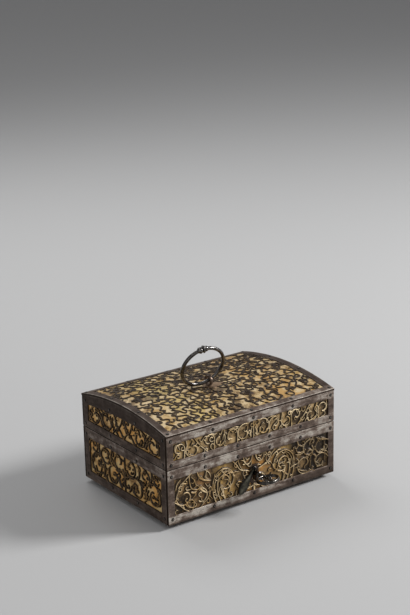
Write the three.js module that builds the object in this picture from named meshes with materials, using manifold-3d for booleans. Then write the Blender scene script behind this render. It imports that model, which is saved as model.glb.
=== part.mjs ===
// An iron-mounted strongbox with a low vaulted lid, in millimetres, +Z up.
// Wooden boards carry thin gilt sheets, and pierced iron scrollwork plates are nailed over the sheets.
// The origin is the middle of the whole outline, on the surface that the feet stand on.

import * as THREE from 'three';
import { mergeVertices } from 'three/addons/utils/BufferGeometryUtils.js';
import Module from 'manifold-3d';

const wasm = await Module();
wasm.setup();

// Driving sizes of the box.
const boxLength = 180;
const boxDepth = 132;
const bodyHeight = 48.75;
const lidSideHeight = 30.05;
const vaultRise = 8;
const footHeight = 4.5;
const seamGap = 0.7;
const boardThickness = 7;
const topBoardThickness = 5;
const floorThickness = 5;
const groundThickness = 0.4;
const plateThickness = 1.4;
const cornerLap = 0.2;
const seat = 0.3;

// Borders of the pierced plates, from the plate's edge to its opening.
const frontSideBorder = 5.4;
const endSideBorder = 8.1;
const bodyBottomBorder = 7.8;
const bodyTopBorder = 9;
const lidBottomBorder = 6.7;
const lidTopBorder = 6.7;
const lidEndTopBorder = 6.4;
const endArchRise = 3.1;
const topSideBorder = 7;
const topFrontBorder = 6;

// Scrollwork and nails.
const scrollHalfWidth = 1;
const scrollLap = 1.5;
const coilStepsPerTurn = 6;
const stemStepsPerSpan = 1;
const vaultFacets = 5;
const nailHeadRadius = 1.3;
const nailHeadHeight = 0.6;
const nailFromOpening = 3.1;
const vineRows = 5;
const vineBays = 8;
const vineTurns = 1.15;
const staplePatchLength = 22;
const staplePatchDepth = 16;

// Feet and hinges.
const footRadius = 4;
const footInset = 10;
const hingeSpacing = 100;
const hingeWidth = 22;
const hingeLeafThickness = 1.2;
const hingeBodyLeafLength = 15;
const hingeLidLeafLength = 18;
const hingePinHeadRadius = 1.7;
const hingePinHeadLength = 1;
const knuckleRadius = 2.3;
const knuckleGap = 0.3;
const lidKnuckleWidth = 8;
const hingePinRadius = 1;
const hingePinClearance = 0.35;
const heelReach = 5.8;
const heelThickness = 1.4;
const lidOpenAngle = 105;

// Ring handle and its staple on the lid.
const ringRadius = 19.9;
const ringWireRadius = 1.65;
const ringTiltForward = 0.321;
const ringLean = 0.517;
const ringTwist = -0.135;
const knopFromTop = 19;
const ringEyeX = -3.8;
const ringEyeY = -7;
const ringEyeHeight = 4.7;
const stapleHoleRadius = 3.3;
const stapleBar = 1.65;
const stapleWidth = 3;
const stapleShank = 3;
const stapleHoleClearance = 0.3;
const roveRadius = 5;
const roveThickness = 1;
const clinchThickness = 1.5;
const clinchReach = 7;

// Key, keyhole cover and lock.
const keyAxisHeight = 23.8;
const keyShankRadius = 2;
const keyBowWidth = 22.4;
const keyBowDepth = 16;
const keyBowBar = 2.8;
const keyBowThickness = 2.8;
const keyBowFromPlate = 19;
const keyCollarRadius = 2.9;
const keyCollarLength = 2.4;
const keyCollarFromBow = 4;
const keyBitReach = 7;
const keyBitThickness = 2;
const keyBitLength = 6;
const keyBoreRadius = 1.35;
const keyBoreDepth = 6;
const keyWardDepth = 2.7;
const keyWardWidth = 1;
const keyWardFromEnd = 2.2;
const keyPostRadius = 0.95;
const keyPostTipClearance = 1;
const keyholeClearance = 0.6;
const escutcheonMargin = 2.2;
const coverPivotX = -0.8;
const coverPivotAboveKey = 4.6;
const coverLength = 26;
const coverHalfWidth = 4.2;
const coverNeckHalfWidth = 1.2;
const coverNeckLength = 6;
const coverThickness = 1.2;
const coverAngle = 37;
const rivetRadius = 0.8;
const rivetClearance = 0.35;
const rivetHeadRadius = 1.9;
const rivetHeadHeight = 0.9;
const lockPlateThickness = 1.2;
const lockPlateMargin = 3;
const lockRoom = 2.2;
const lockCaseWall = 1.2;
const boltThickness = 2.4;
const boltThrow = 6;
const boltBar = 2.2;
const boltArmWidth = 3;
const boltProngHeight = 3;
const boltProngAboveKey = 12.5;
const boltFromLockPlate = 3;
const boltNotchWidth = 4.4;
const boltArmFromTooth = 7.2;
const bitFromLockPlate = 0.6;
const bitClearance = 1.3;
const toothDepth = 4.1;
const toothWidth = 3;
const slideClearance = 0.3;
const guideWall = 1.2;
const guideWidth = 2.8;
const keeperThickness = 2.4;
const keeperWall = 1.5;
const keeperPlateLength = 12;
const keeperBracketHeight = 3;
const keeperFromLidEdge = 0.5;
const keeperFromBoltArm = 8.5;
const keeperSideClearance = 0.6;

// How far a cut runs past the face that it opens, and how deep joined pieces go into each other.
const cutPast = 1;
const joinBite = 1;

// Levels and places that follow from the sizes above.
const bodyBottom = footHeight;
const bodyTop = bodyBottom + bodyHeight;
const lidBottom = bodyTop + seamGap;
const lidEdge = lidBottom + lidSideHeight;
const crown = lidEdge + vaultRise;
const halfLength = boxLength / 2;
const halfDepth = boxDepth / 2;
const skin = plateThickness + groundThickness;
const coreX = halfLength - skin;
const coreY = halfDepth - skin;
const innerX = coreX - boardThickness;
const innerY = coreY - boardThickness;
const vaultRadius = (halfDepth * halfDepth + vaultRise * vaultRise) / (2 * vaultRise);
const overLid = crown + 5;
const keyZ = bodyBottom + keyAxisHeight;
const keyTip = -innerY + lockPlateThickness + bitFromLockPlate + keyBitLength;
const coverPivotZ = keyZ + coverPivotAboveKey;
const hingeY = halfDepth + knuckleRadius + knuckleGap;
const hingeZ = bodyTop + seamGap / 2;
const keyFront = halfDepth + keyBowFromPlate + keyBowDepth / 2;
const heelAngle = THREE.MathUtils.degToRad(lidOpenAngle - 90);
const hingeBack = hingeY + heelReach * Math.cos(heelAngle) + heelThickness / 2 * Math.sin(heelAngle);
const middleY = (keyFront - hingeBack) / 2;

// Depths of the vaulted layers below the outer face of the lid.
const topGroundDrop = plateThickness + seat;
const topBoardDrop = topGroundDrop + groundThickness + seat;
const underTopBoard = topBoardDrop + topBoardThickness;

// The drawn bolt, from the middle of the keyhole. Its notch takes the key's bit.
const boltBarTop = -keyBitReach - bitClearance;
const toothTop = boltBarTop + toothDepth;
const pushedFace = boltThrow - keyBitThickness / 2 - slideClearance;
const drawnFace = pushedFace + boltNotchWidth;
const armRight = pushedFace - toothWidth - boltArmFromTooth;
const armLeft = armRight - boltArmWidth;
const keeperX = armLeft - boltThrow - keeperFromBoltArm;
const prongTip = keeperX + keeperThickness / 2 + keeperSideClearance;
const prongTop = boltProngAboveKey + boltProngHeight;
const guideLeftX = (prongTip + armLeft - boltThrow) / 2;
const guideRightX = drawnFace + toothWidth + guideWidth / 2 + 2 * slideClearance;
const boltRight = guideRightX + guideWidth / 2 + boltThrow + cutPast;
const boltOutline = [
  [armLeft, boltBarTop - boltBar], [boltRight, boltBarTop - boltBar], [boltRight, boltBarTop],
  [drawnFace + toothWidth, boltBarTop], [drawnFace + toothWidth, toothTop],
  [drawnFace, toothTop], [drawnFace, boltBarTop],
  [pushedFace, boltBarTop], [pushedFace, toothTop],
  [pushedFace - toothWidth, toothTop], [pushedFace - toothWidth, boltBarTop],
  [armRight, boltBarTop], [armRight, prongTop],
  [prongTip, prongTop], [prongTip, boltProngAboveKey], [armLeft, boltProngAboveKey],
];

const materials = {
  iron: new THREE.MeshStandardMaterial({ color: 0x5b5048, roughness: 0.55, metalness: 0.85 }),
  gilt: new THREE.MeshStandardMaterial({ color: 0xc79a55, roughness: 0.45, metalness: 0.8 }),
  wood: new THREE.MeshStandardMaterial({ color: 0x5a3d26, roughness: 0.75, metalness: 0 }),
  polishedIron: new THREE.MeshStandardMaterial({ color: 0x6e6a68, roughness: 0.25, metalness: 1 }),
  blackIron: new THREE.MeshStandardMaterial({ color: 0x2a2725, roughness: 0.5, metalness: 0.9 }),
};

// Merges a geometry's shared vertices and drops the slivers that its poles leave.
function welded(geometry) {
  const bare = geometry.clone();
  bare.deleteAttribute('normal');
  bare.deleteAttribute('uv');
  const merged = mergeVertices(bare, 1e-4);
  const corners = merged.index.array;
  const kept = [];
  for (let i = 0; i < corners.length; i += 3) {
    const [a, b, c] = [corners[i], corners[i + 1], corners[i + 2]];
    if (a !== b && b !== c && c !== a) kept.push(a, b, c);
  }
  merged.setIndex(kept);
  return merged;
}

function solidFrom(geometry) {
  const merged = welded(geometry);
  return new wasm.Manifold(new wasm.Mesh({
    numProp: 3,
    vertProperties: merged.attributes.position.array,
    triVerts: Uint32Array.from(merged.index.array),
  }));
}

function geometryFrom(solid) {
  const mesh = solid.getMesh();
  const geometry = new THREE.BufferGeometry();
  geometry.setAttribute('position', new THREE.BufferAttribute(mesh.vertProperties, 3));
  geometry.setIndex(new THREE.BufferAttribute(mesh.triVerts, 1));
  return geometry;
}

// Joins solids into one, and cuts others away from it.
function joined(solids, cuts = []) {
  let whole = solids[0];
  for (const solid of solids.slice(1)) whole = whole.add(solid);
  for (const cut of cuts) whole = whole.subtract(cut);
  return whole;
}

// A box between two corners.
function block(low, high) {
  const size = high.map((value, i) => value - low[i]);
  const middle = high.map((value, i) => (value + low[i]) / 2);
  return new THREE.BoxGeometry(...size).translate(...middle);
}

// The directions that an outline's two axes and its thickness take on each side of the box.
const along = {
  front: [[1, 0, 0], [0, 0, 1], [0, -1, 0]],
  back: [[-1, 0, 0], [0, 0, 1], [0, 1, 0]],
  left: [[0, -1, 0], [0, 0, 1], [-1, 0, 0]],
  right: [[0, 1, 0], [0, 0, 1], [1, 0, 0]],
};

function turned(geometry, side, offset = [0, 0, 0]) {
  const [across, upward, outward] = along[side].map((axis) => new THREE.Vector3(...axis));
  const place = new THREE.Matrix4().makeBasis(across, upward, outward);
  place.setPosition(...offset);
  return geometry.applyMatrix4(place);
}

function shapeFrom(points, holes = []) {
  const shape = new THREE.Shape(points.map(([u, v]) => new THREE.Vector2(u, v)));
  for (const hole of holes) {
    shape.holes.push(new THREE.Path(hole.map(([u, v]) => new THREE.Vector2(u, v))));
  }
  return shape;
}

function prism(points, thickness, holes = [], start = 0) {
  const shape = shapeFrom(points, holes);
  const geometry = new THREE.ExtrudeGeometry(shape, { depth: thickness, bevelEnabled: false });
  return geometry.translate(0, 0, start);
}

function rectangle(left, bottom, right, top) {
  return [[left, bottom], [right, bottom], [right, top], [left, top]];
}

function circlePoints(u, v, radius, sides, from = 0, sweep = 2 * Math.PI) {
  const whole = Math.abs(sweep) >= 2 * Math.PI - 1e-9;
  const count = whole ? sides : sides + 1;
  return Array.from({ length: count }, (_, i) => {
    const angle = from + (sweep * i) / sides;
    return [u + radius * Math.cos(angle), v + radius * Math.sin(angle)];
  });
}

// Height of a vaulted layer's face above the table, at a distance from the middle of the lid.
function vaultHeight(y, drop) {
  const radius = vaultRadius - drop;
  return crown - vaultRadius + Math.sqrt(radius * radius - y * y);
}

function vaultArc(reach, drop, steps = vaultFacets) {
  return Array.from({ length: steps + 1 }, (_, i) => {
    const y = reach - (2 * reach * i) / steps;
    return [y, vaultHeight(y, drop)];
  });
}

// A vaulted layer between two depths below the lid's outer face.
function vaultLayer(reachX, reachY, outerDrop, innerDrop) {
  const section = [...vaultArc(reachY, outerDrop), ...vaultArc(reachY, innerDrop).reverse()];
  return turned(prism(section, 2 * reachX), 'right', [-reachX, 0, 0]);
}

// The slot that the key goes through, about the key's axis.
function keyholeOutline(u, v, grow) {
  const radius = keyShankRadius + keyholeClearance + grow;
  const slot = keyBitThickness / 2 + keyholeClearance + grow;
  const start = -Math.acos(slot / radius);
  const round = circlePoints(u, v, radius, 10, start, Math.PI - 2 * start);
  const bottom = v - keyBitReach - keyholeClearance - grow;
  return [...round, [u - slot, bottom], [u + slot, bottom]];
}

// Scrollwork. A scroll follows its stem's points and may then coil about a centre.
// coil holds the centre, the turns (anticlockwise above zero) and the last radius.
// widths are shares of the scroll's width at its start, middle and end.
const vineWidths = [1, 1, 1.3];
const twigWidths = [0.9, 1, 0.7];
const leafWidths = [0.6, 1.9, 0.5];

function scroll(stem, coil = null, widths = coil ? vineWidths : twigWidths) {
  return { stem, coil, widths };
}

function mirrored(scrolls) {
  return scrolls.map(({ stem, coil, widths }) => ({
    stem: stem.map(([u, v]) => [-u, v]),
    coil: coil && [-coil[0], coil[1], -coil[2], coil[3]],
    widths,
  }));
}

function scrollLine({ stem, coil }) {
  const curve = new THREE.SplineCurve(stem.map(([u, v]) => new THREE.Vector2(u, v)));
  const line = curve.getPoints(stemStepsPerSpan * (stem.length - 1));
  if (!coil) return line;
  const [u, v, turns, lastRadius] = coil;
  const start = line[line.length - 1];
  const radius = Math.hypot(start.x - u, start.y - v);
  const from = Math.atan2(start.y - v, start.x - u);
  const steps = Math.ceil(Math.abs(turns) * coilStepsPerTurn);
  for (let i = 1; i <= steps; i += 1) {
    const share = i / steps;
    const reach = radius + (lastRadius - radius) * share ** 1.6;
    const angle = from + 2 * Math.PI * turns * share;
    line.push(new THREE.Vector2(u + reach * Math.cos(angle), v + reach * Math.sin(angle)));
  }
  return line;
}

// The outline of a scroll as a ribbon, after its centre line is fitted to the opening.
function ribbonOutline(stroke, fit) {
  const line = scrollLine(stroke).map(fit);
  const [first, middle, last] = stroke.widths;
  const left = [];
  const right = [];
  line.forEach((point, i) => {
    const before = line[Math.max(i - 1, 0)];
    const after = line[Math.min(i + 1, line.length - 1)];
    const run = new THREE.Vector2().subVectors(after, before).normalize();
    const share = i / (line.length - 1);
    const bow = 4 * share * (1 - share);
    const width = (first + (last - first) * share) * (1 - bow) + middle * bow;
    const half = scrollHalfWidth * width;
    left.push([point.x - run.y * half, point.y + run.x * half]);
    right.push([point.x + run.y * half, point.y - run.x * half]);
  });
  return [...right, ...left.reverse()];
}

// Fits a design to an opening. Its lowest and highest stem ends lap over the borders there.
function fitTo(design, left, bottom, right, top) {
  const heights = design.scrolls.flatMap(({ stem }) => stem.map(([, v]) => v));
  const lowest = Math.min(...heights);
  const scaleU = (right - left) / design.width;
  const scaleV = (top - bottom + 2 * scrollLap) / (Math.max(...heights) - lowest);
  const middle = (left + right) / 2;
  const foot = bottom - scrollLap;
  return (point) => new THREE.Vector2(middle + point.x * scaleU, foot + (point.y - lowest) * scaleV);
}

// Half designs, from the middle of the opening to the right, and up from its lower edge.
const innerScroll = [
  scroll([[27, -1.5], [36.6, 1.6]], [31.2, 16.2, 1.6, 3.4]),
  scroll([[24, 34], [18.5, 28], [14.5, 22.5], [3.5, 18.5]]),
  scroll([[0.6, 4.6], [8, 2.6], [15, 5.2], [19.6, 11]]),
  scroll([[3.5, 14], [9.5, 12.4], [13, 7], [14, -1.5]], null, leafWidths),
  scroll([[1.6, 34], [3, 28.5], [6.8, 25.4], [10.2, 28.5], [11.2, 34]]),
  scroll([[38.5, 8.5], [34, 9.6], [29.5, 8.8]], null, leafWidths),
];
const bodyFrontDesign = {
  width: 166,
  scrolls: [
    scroll([[0, -1.5], [0, 9]], null, [1.5, 1.5, 1.5]),
    ...innerScroll,
    ...mirrored(innerScroll),
    scroll([[66.5, 34], [64.5, 30.4]], [62, 22.4, 1.15, 2.4]),
    scroll([[84.5, 25], [80.6, 26.4]], [75.4, 20.2, 1.1, 2.1]),
    scroll([[68, -1.2], [62.4, 1.6]], [56.2, 8.8, -1.2, 2.3]),
    scroll([[84.5, 8], [80.4, 12]], [74.6, 7, 1.05, 2.2]),
    scroll([[45.6, 20.5], [50, 19], [55.5, 20.6]]),
    scroll([[48, 34], [49.6, 28.4], [55.6, 26]]),
    scroll([[66, 15.5], [69.4, 12.6], [68.4, 8.4]], null, leafWidths),
    scroll([[-65, 34], [-71, 29.6], [-77, 25], [-79.4, 19.4]], [-74, 15.4, 1.15, 2.2]),
    scroll([[-84.5, 12.5], [-78.6, 8], [-73, 2.4], [-67, -1.5]]),
    scroll([[-65.6, -1.2], [-63.6, 4]], [-67.4, 5.8, 0.8, 1.9]),
    scroll([[-68, 34], [-67.6, 26], [-65.6, 19.4], [-60.4, 16.8]], [-56.8, 10, -1.1, 2.2]),
    scroll([[-60, 34], [-57.4, 27.4], [-52, 23.4], [-45.4, 21.5]], null, leafWidths),
    scroll([[-49, 34], [-50.8, 28.6], [-51, 23]]),
    scroll([[-46, 13], [-49, 6], [-54, 2.4], [-58, -1.5]]),
  ],
};
const halfBodyEnd = [
  scroll([[27, -1.5], [33.4, 4.4]], [44, 10.6, -1.35, 2.6]),
  scroll([[0, 12.5], [5.5, 15.6], [11, 15.2]], [18, 8.4, -1.2, 2.3]),
  scroll([[0, 12.5], [3, 19.6]], [9.4, 24.4, 1.05, 2.1]),
  scroll([[20, 17.2], [25.4, 18.2]], [31.2, 23.6, 1.15, 2.1]),
  scroll([[58, 17.5], [55.8, 21.8]], [49.6, 25.8, 1.05, 2]),
  scroll([[20, 17.2], [22.6, 24], [20, 33]], null, leafWidths),
  scroll([[38.4, 21], [41.8, 26.6], [40.6, 33]], null, leafWidths),
];
const bodyEndDesign = {
  width: 112.6,
  scrolls: [
    scroll([[0, -1.5], [0, 33.5]]),
    ...halfBodyEnd,
    ...mirrored(halfBodyEnd),
  ],
};
const halfLidFront = [
  scroll([[2.4, 16], [6, 13.6]], [9.8, 6.8, -1.2, 2]),
  scroll([[17.4, -1.2], [17, 6]], [22.9, 7.4, -1.05, 2]),
  scroll([[31.4, 16], [30.6, 9.4]], [35.7, 7, 1.05, 1.9]),
  scroll([[41.6, -1.2], [41.4, 6.6]], [46.6, 8.8, -1.05, 1.9]),
  scroll([[47, -1.2], [53, 4.2], [58, 9.6], [62.6, 16]]),
  scroll([[70.4, 16], [68.8, 10]], [63.4, 5.4, -1.15, 1.9]),
  scroll([[72.4, -1.2], [71.6, 6.4]], [76.9, 8, -1.1, 2]),
];
const lidFrontDesign = {
  width: 166,
  scrolls: [scroll([[0, -1.2], [0, 16]]), ...halfLidFront, ...mirrored(halfLidFront)],
};
const halfLidEnd = [
  scroll([[0.4, 22], [3.4, 14.4], [8.4, 8.6], [12, 14.4], [14.6, 22]]),
  scroll([[0, -1.4], [3, 4.4], [8.4, 8], [14.6, 3.6], [17.6, -1.4]]),
  scroll([[15, 22], [21.8, 18.6]], [24.6, 9.6, -1.2, 2.3]),
  scroll([[33.6, 10], [37.6, 14.8]], [45, 8.6, -1.3, 2.2]),
];
const lidEndDesign = {
  width: 112.6,
  scrolls: [...halfLidEnd, ...mirrored(halfLidEnd)],
};

// The lid's top: rows of winding vines with a coil in each bay, about the middle of the opening.
function vineDesign(width, depth) {
  const bay = width / vineBays;
  const row = depth / vineRows;
  const coilRadius = bay / 2 - scrollHalfWidth - 0.1;
  const coilEnd = 2.8;
  const past = 1.5;
  const sway = row * 0.42;
  const coilShift = row * 0.1;
  const rootShift = row * 0.14;
  const scrolls = [];
  for (let j = 0; j < vineRows; j += 1) {
    const v = row * (j + 0.5) - depth / 2;
    const stem = [[-width / 2 - past, v]];
    for (let i = 0; i < vineBays; i += 1) {
      const side = (i + j) % 2 ? -1 : 1;
      const u = bay * i - width / 2;
      stem.push([u + bay / 2, v - side * sway]);
      if (i < vineBays - 1) stem.push([u + bay, v]);
      const middle = [u + bay / 2, v + side * coilShift];
      const start = [middle[0] - coilRadius, middle[1]];
      const root = [start[0] + 0.6, v - side * rootShift];
      scrolls.push(scroll([root, start], [...middle, -vineTurns * side, coilEnd]));
    }
    stem.push([width / 2 + past, v]);
    scrolls.push(scroll(stem));
  }
  return { scrolls };
}

// Evenly spaced nail places along one border.
function nailRow(reach, v, count) {
  return Array.from({ length: count }, (_, i) => [-reach + (2 * reach * i) / (count - 1), v]);
}

// Leaves out the nails that would lie under a hinge's leaves.
function clearOfHinges(nails) {
  const margin = nailHeadRadius + seat;
  const low = hingeZ - knuckleRadius - knuckleGap - hingeBodyLeafLength - margin;
  const high = hingeZ + knuckleRadius + knuckleGap + hingeLidLeafLength + margin;
  return nails.filter(([u, v]) => {
    const beside = Math.abs(Math.abs(u) - hingeSpacing / 2) > hingeWidth / 2 + margin;
    return beside || v < low || v > high;
  });
}

function nailHead(u, v, top) {
  const sunk = 0.3;
  const height = nailHeadHeight + sunk;
  const head = new THREE.CylinderGeometry(nailHeadRadius * 0.45, nailHeadRadius, height, 4, 1);
  head.rotateX(Math.PI / 2);
  return solidFrom(head.translate(u, v, top - sunk + height / 2));
}

// The plate with its border, scrolls and extra fields, flat, from its back face outwards.
function piercedPlate({ outline, opening, design, fit, nails = [], fields = [], cuts = [] }) {
  const parts = [solidFrom(prism(outline, plateThickness, [opening]))];
  for (const stroke of design.scrolls) {
    parts.push(solidFrom(prism(ribbonOutline(stroke, fit), plateThickness)));
  }
  for (const field of fields) parts.push(solidFrom(prism(field, plateThickness)));
  for (const [u, v] of nails) parts.push(nailHead(u, v, plateThickness));
  const gone = cuts.map((cut) => solidFrom(prism(cut, 2 * plateThickness, [], -plateThickness / 2)));
  return geometryFrom(joined(parts, gone));
}

const whole = new THREE.Group();
const box = new THREE.Group();
box.position.y = middleY;
whole.add(box);

function add(name, geometry, material) {
  const mesh = new THREE.Mesh(welded(geometry), material);
  mesh.name = name;
  box.add(mesh);
}

// Distance of each side's plates and sheets from the middle of the box.
const sides = {
  front: { half: coreX, axis: 1, reach: -coreY },
  back: { half: coreX, axis: 1, reach: coreY },
  left: { half: coreY, axis: 0, reach: -coreX },
  right: { half: coreY, axis: 0, reach: coreX },
};

function outside(side, distance) {
  const { axis, reach } = sides[side];
  const offset = [0, 0, 0];
  offset[axis] = reach + Math.sign(reach) * distance;
  return offset;
}

function addSheet(name, side, outline, holes = []) {
  add(name, turned(prism(outline, groundThickness, holes), side, outside(side, 0)), materials.gilt);
}

function addPlate(name, side, panel) {
  add(name, turned(piercedPlate(panel), side, outside(side, groundThickness)), materials.iron);
}

// The body's floor and walls.
function addBodyBoards() {
  add('floor_board', block([-innerX, -innerY, bodyBottom],
    [innerX, innerY, bodyBottom + floorThickness]), materials.wood);
  const keyhole = keyholeOutline(0, keyZ, 0);
  const wall = prism(rectangle(-coreX, bodyBottom, coreX, bodyTop), boardThickness, [keyhole]);
  add('body_front_board', turned(wall, 'front', [0, -innerY, 0]), materials.wood);
  add('body_back_board', block([-coreX, innerY, bodyBottom], [coreX, coreY, bodyTop]), materials.wood);
  add('body_left_board', block([-coreX, -innerY, bodyBottom], [-innerX, innerY, bodyTop]), materials.wood);
  add('body_right_board', block([innerX, -innerY, bodyBottom], [coreX, innerY, bodyTop]), materials.wood);
}

// The body's gilt sheets and pierced plates.
function addBodyMounts() {
  const keyhole = keyholeOutline(0, keyZ, 0);
  for (const side of ['front', 'back', 'left', 'right']) {
    const { half } = sides[side];
    const long = side === 'front' || side === 'back';
    const sheet = rectangle(-half, bodyBottom, half, bodyTop);
    addSheet(`body_${side}_ground`, side, sheet, side === 'front' ? [keyhole] : []);

    const edge = half + cornerLap;
    const border = long ? frontSideBorder : endSideBorder;
    const reach = edge - border;
    const low = bodyBottom + bodyBottomBorder;
    const high = bodyTop - bodyTopBorder;
    const design = long ? bodyFrontDesign : bodyEndDesign;
    const nailReach = edge - border / 2;
    const panel = {
      outline: rectangle(-edge, bodyBottom, edge, bodyTop),
      opening: rectangle(-reach, low, reach, high),
      design,
      fit: fitTo(design, -reach, low, reach, high),
      nails: [
        ...nailRow(nailReach, low - nailFromOpening, long ? 5 : 4),
        ...nailRow(nailReach, high + nailFromOpening, long ? 6 : 4),
      ],
    };
    if (side === 'front') {
      panel.fields = [escutcheonOutline()];
      panel.cuts = [keyhole, circlePoints(coverPivotX, coverPivotZ, rivetRadius + rivetClearance, 8)];
    }
    if (side === 'back') panel.nails = clearOfHinges(panel.nails);
    addPlate(`body_${side}_plate`, side, panel);
  }
}

// The solid field round the keyhole that the cover's rivet goes through.
function escutcheonOutline() {
  const half = keyShankRadius + keyholeClearance + escutcheonMargin;
  const bottom = keyZ - keyBitReach - keyholeClearance - escutcheonMargin;
  const top = coverPivotZ + rivetRadius + rivetClearance + 1.65;
  return [
    [-half * 0.6, bottom], [half * 0.6, bottom], [half, bottom + 3], [half, top - 4],
    [half * 0.5, top], [-half * 0.7, top], [-half, top - 4], [-half, bottom + 3],
  ];
}

// The lid's walls and its vaulted top board.
function addLidBoards() {
  const under = underTopBoard + seat;
  for (const [name, sign] of [['front', -1], ['back', 1]]) {
    const section = [
      [sign * innerY, lidBottom], [sign * coreY, lidBottom],
      [sign * coreY, vaultHeight(coreY, under)], [sign * innerY, vaultHeight(innerY, under)],
    ];
    const ordered = sign > 0 ? section : section.reverse();
    const wall = turned(prism(ordered, 2 * coreX), 'right', [-coreX, 0, 0]);
    add(`lid_${name}_board`, wall, materials.wood);
  }
  const arch = [[-innerY, lidBottom], [innerY, lidBottom], ...vaultArc(innerY, under)];
  for (const [name, start] of [['left', -coreX], ['right', innerX]]) {
    const end = turned(prism(arch, boardThickness), 'right', [start, 0, 0]);
    add(`lid_${name}_board`, end, materials.wood);
  }
  const board = vaultLayer(coreX, coreY, topBoardDrop, underTopBoard);
  add('lid_top_board', geometryFrom(solidFrom(board).subtract(stapleShaft())), materials.wood);
}

// The square hole that the ring's staple goes through.
function stapleShaft() {
  const half = stapleShank / 2 + stapleHoleClearance;
  return solidFrom(block([ringEyeX - half, ringEyeY - half, lidBottom],
    [ringEyeX + half, ringEyeY + half, overLid]));
}

function addLidMounts() {
  const plateTop = vaultHeight(halfDepth, plateThickness + seat);
  for (const side of ['front', 'back', 'left', 'right']) {
    const { half } = sides[side];
    const long = side === 'front' || side === 'back';
    const edge = half + cornerLap;
    const border = long ? frontSideBorder : endSideBorder;
    const reach = edge - border;
    const low = lidBottom + lidBottomBorder;
    const high = plateTop - (long ? lidTopBorder : lidEndTopBorder);
    const outlineOf = (far) => (long
      ? rectangle(-far, lidBottom, far, plateTop)
      : [[-far, lidBottom], [far, lidBottom], ...vaultArc(far, plateThickness + seat)]);
    addSheet(`lid_${side}_ground`, side, outlineOf(half));

    const archTop = Array.from({ length: 5 }, (_, i) => {
      const share = 1 - i / 2;
      return [reach * share, high + endArchRise * (1 - share * share)];
    });
    const design = long ? lidFrontDesign : lidEndDesign;
    const nailReach = edge - border / 2;
    const upper = nailRow(nailReach, high + nailFromOpening, long ? 5 : 4);
    const lifted = upper.map(([u, v]) => [u, v + endArchRise * (1 - (u / nailReach) ** 2)]);
    const panel = {
      outline: outlineOf(edge),
      opening: long ? rectangle(-reach, low, reach, high) : [[-reach, low], [reach, low], ...archTop],
      design,
      fit: fitTo(design, -reach, low, reach, long ? high : high + endArchRise),
      nails: [
        ...nailRow(nailReach, low - nailFromOpening, long ? 6 : 4),
        ...(long ? upper : lifted),
      ],
    };
    if (side === 'back') panel.nails = clearOfHinges(panel.nails);
    addPlate(`lid_${side}_plate`, side, panel);
  }
}

// The vaulted sheet and pierced plate on top of the lid.
function addLidTop() {
  const sheet = solidFrom(vaultLayer(coreX, coreY, topGroundDrop, topGroundDrop + groundThickness));
  add('lid_top_ground', geometryFrom(sheet.subtract(stapleShaft())), materials.gilt);

  const reachX = halfLength - topSideBorder;
  const reachY = halfDepth - topFrontBorder;
  const design = vineDesign(2 * reachX, 2 * reachY);
  const fit = (point) => point;
  const tall = overLid - lidBottom;
  const upright = (points, holes) => solidFrom(prism(points, tall, holes, lidBottom));
  const outline = rectangle(-halfLength, -halfDepth, halfLength, halfDepth);
  const parts = [upright(outline, [rectangle(-reachX, -reachY, reachX, reachY)])];
  for (const stroke of design.scrolls) parts.push(upright(ribbonOutline(stroke, fit)));
  const patch = [
    [ringEyeX - staplePatchLength * 0.3, ringEyeY], [ringEyeX + 1, ringEyeY - staplePatchDepth / 2],
    [ringEyeX + staplePatchLength * 0.7, ringEyeY - 1], [ringEyeX + 1, ringEyeY + staplePatchDepth / 2],
  ];
  parts.push(upright(patch));
  const layer = solidFrom(vaultLayer(halfLength, halfDepth, 0, plateThickness));
  const pierced = joined(parts, [stapleShaft()]).intersect(layer);

  const edgeX = halfLength - topSideBorder / 2;
  const edgeY = halfDepth - topFrontBorder / 2;
  const places = [
    ...nailRow(edgeX, -edgeY, 5),
    ...nailRow(edgeX, edgeY, 5),
    ...[-1, 1].flatMap((sign) => nailRow(edgeY, sign * edgeX, 4).slice(1, -1).map(([u, v]) => [v, u])),
  ];
  const heads = places.map(([u, v]) => nailHead(u, v, vaultHeight(v, 0)));
  add('lid_top_plate', geometryFrom(joined([pierced, ...heads])), materials.iron);
}

// Turned feet under the corners.
function addFeet() {
  const profile = [
    [0, 0], [0.65, 0], [1, 0.3], [1, 0.58], [0.72, 0.82], [0.82, 1], [0, 1],
  ].map(([r, z]) => new THREE.Vector2(r * footRadius, z * footHeight));
  for (const [name, x, y] of [
    ['front_left', -1, -1], ['front_right', 1, -1], ['back_left', -1, 1], ['back_right', 1, 1],
  ]) {
    const foot = new THREE.LatheGeometry(profile, 12).rotateX(Math.PI / 2);
    foot.translate(x * (halfLength - footInset), y * (halfDepth - footInset), 0);
    add(`foot_${name}`, foot, materials.iron);
  }
}

// A knuckle round the hinge's pin, between two places along X.
function knuckle(from, to, radius, sides = 12) {
  const barrel = new THREE.CylinderGeometry(radius, radius, to - from, sides).rotateZ(Math.PI / 2);
  return solidFrom(barrel.translate((from + to) / 2, hingeY, hingeZ));
}

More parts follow.
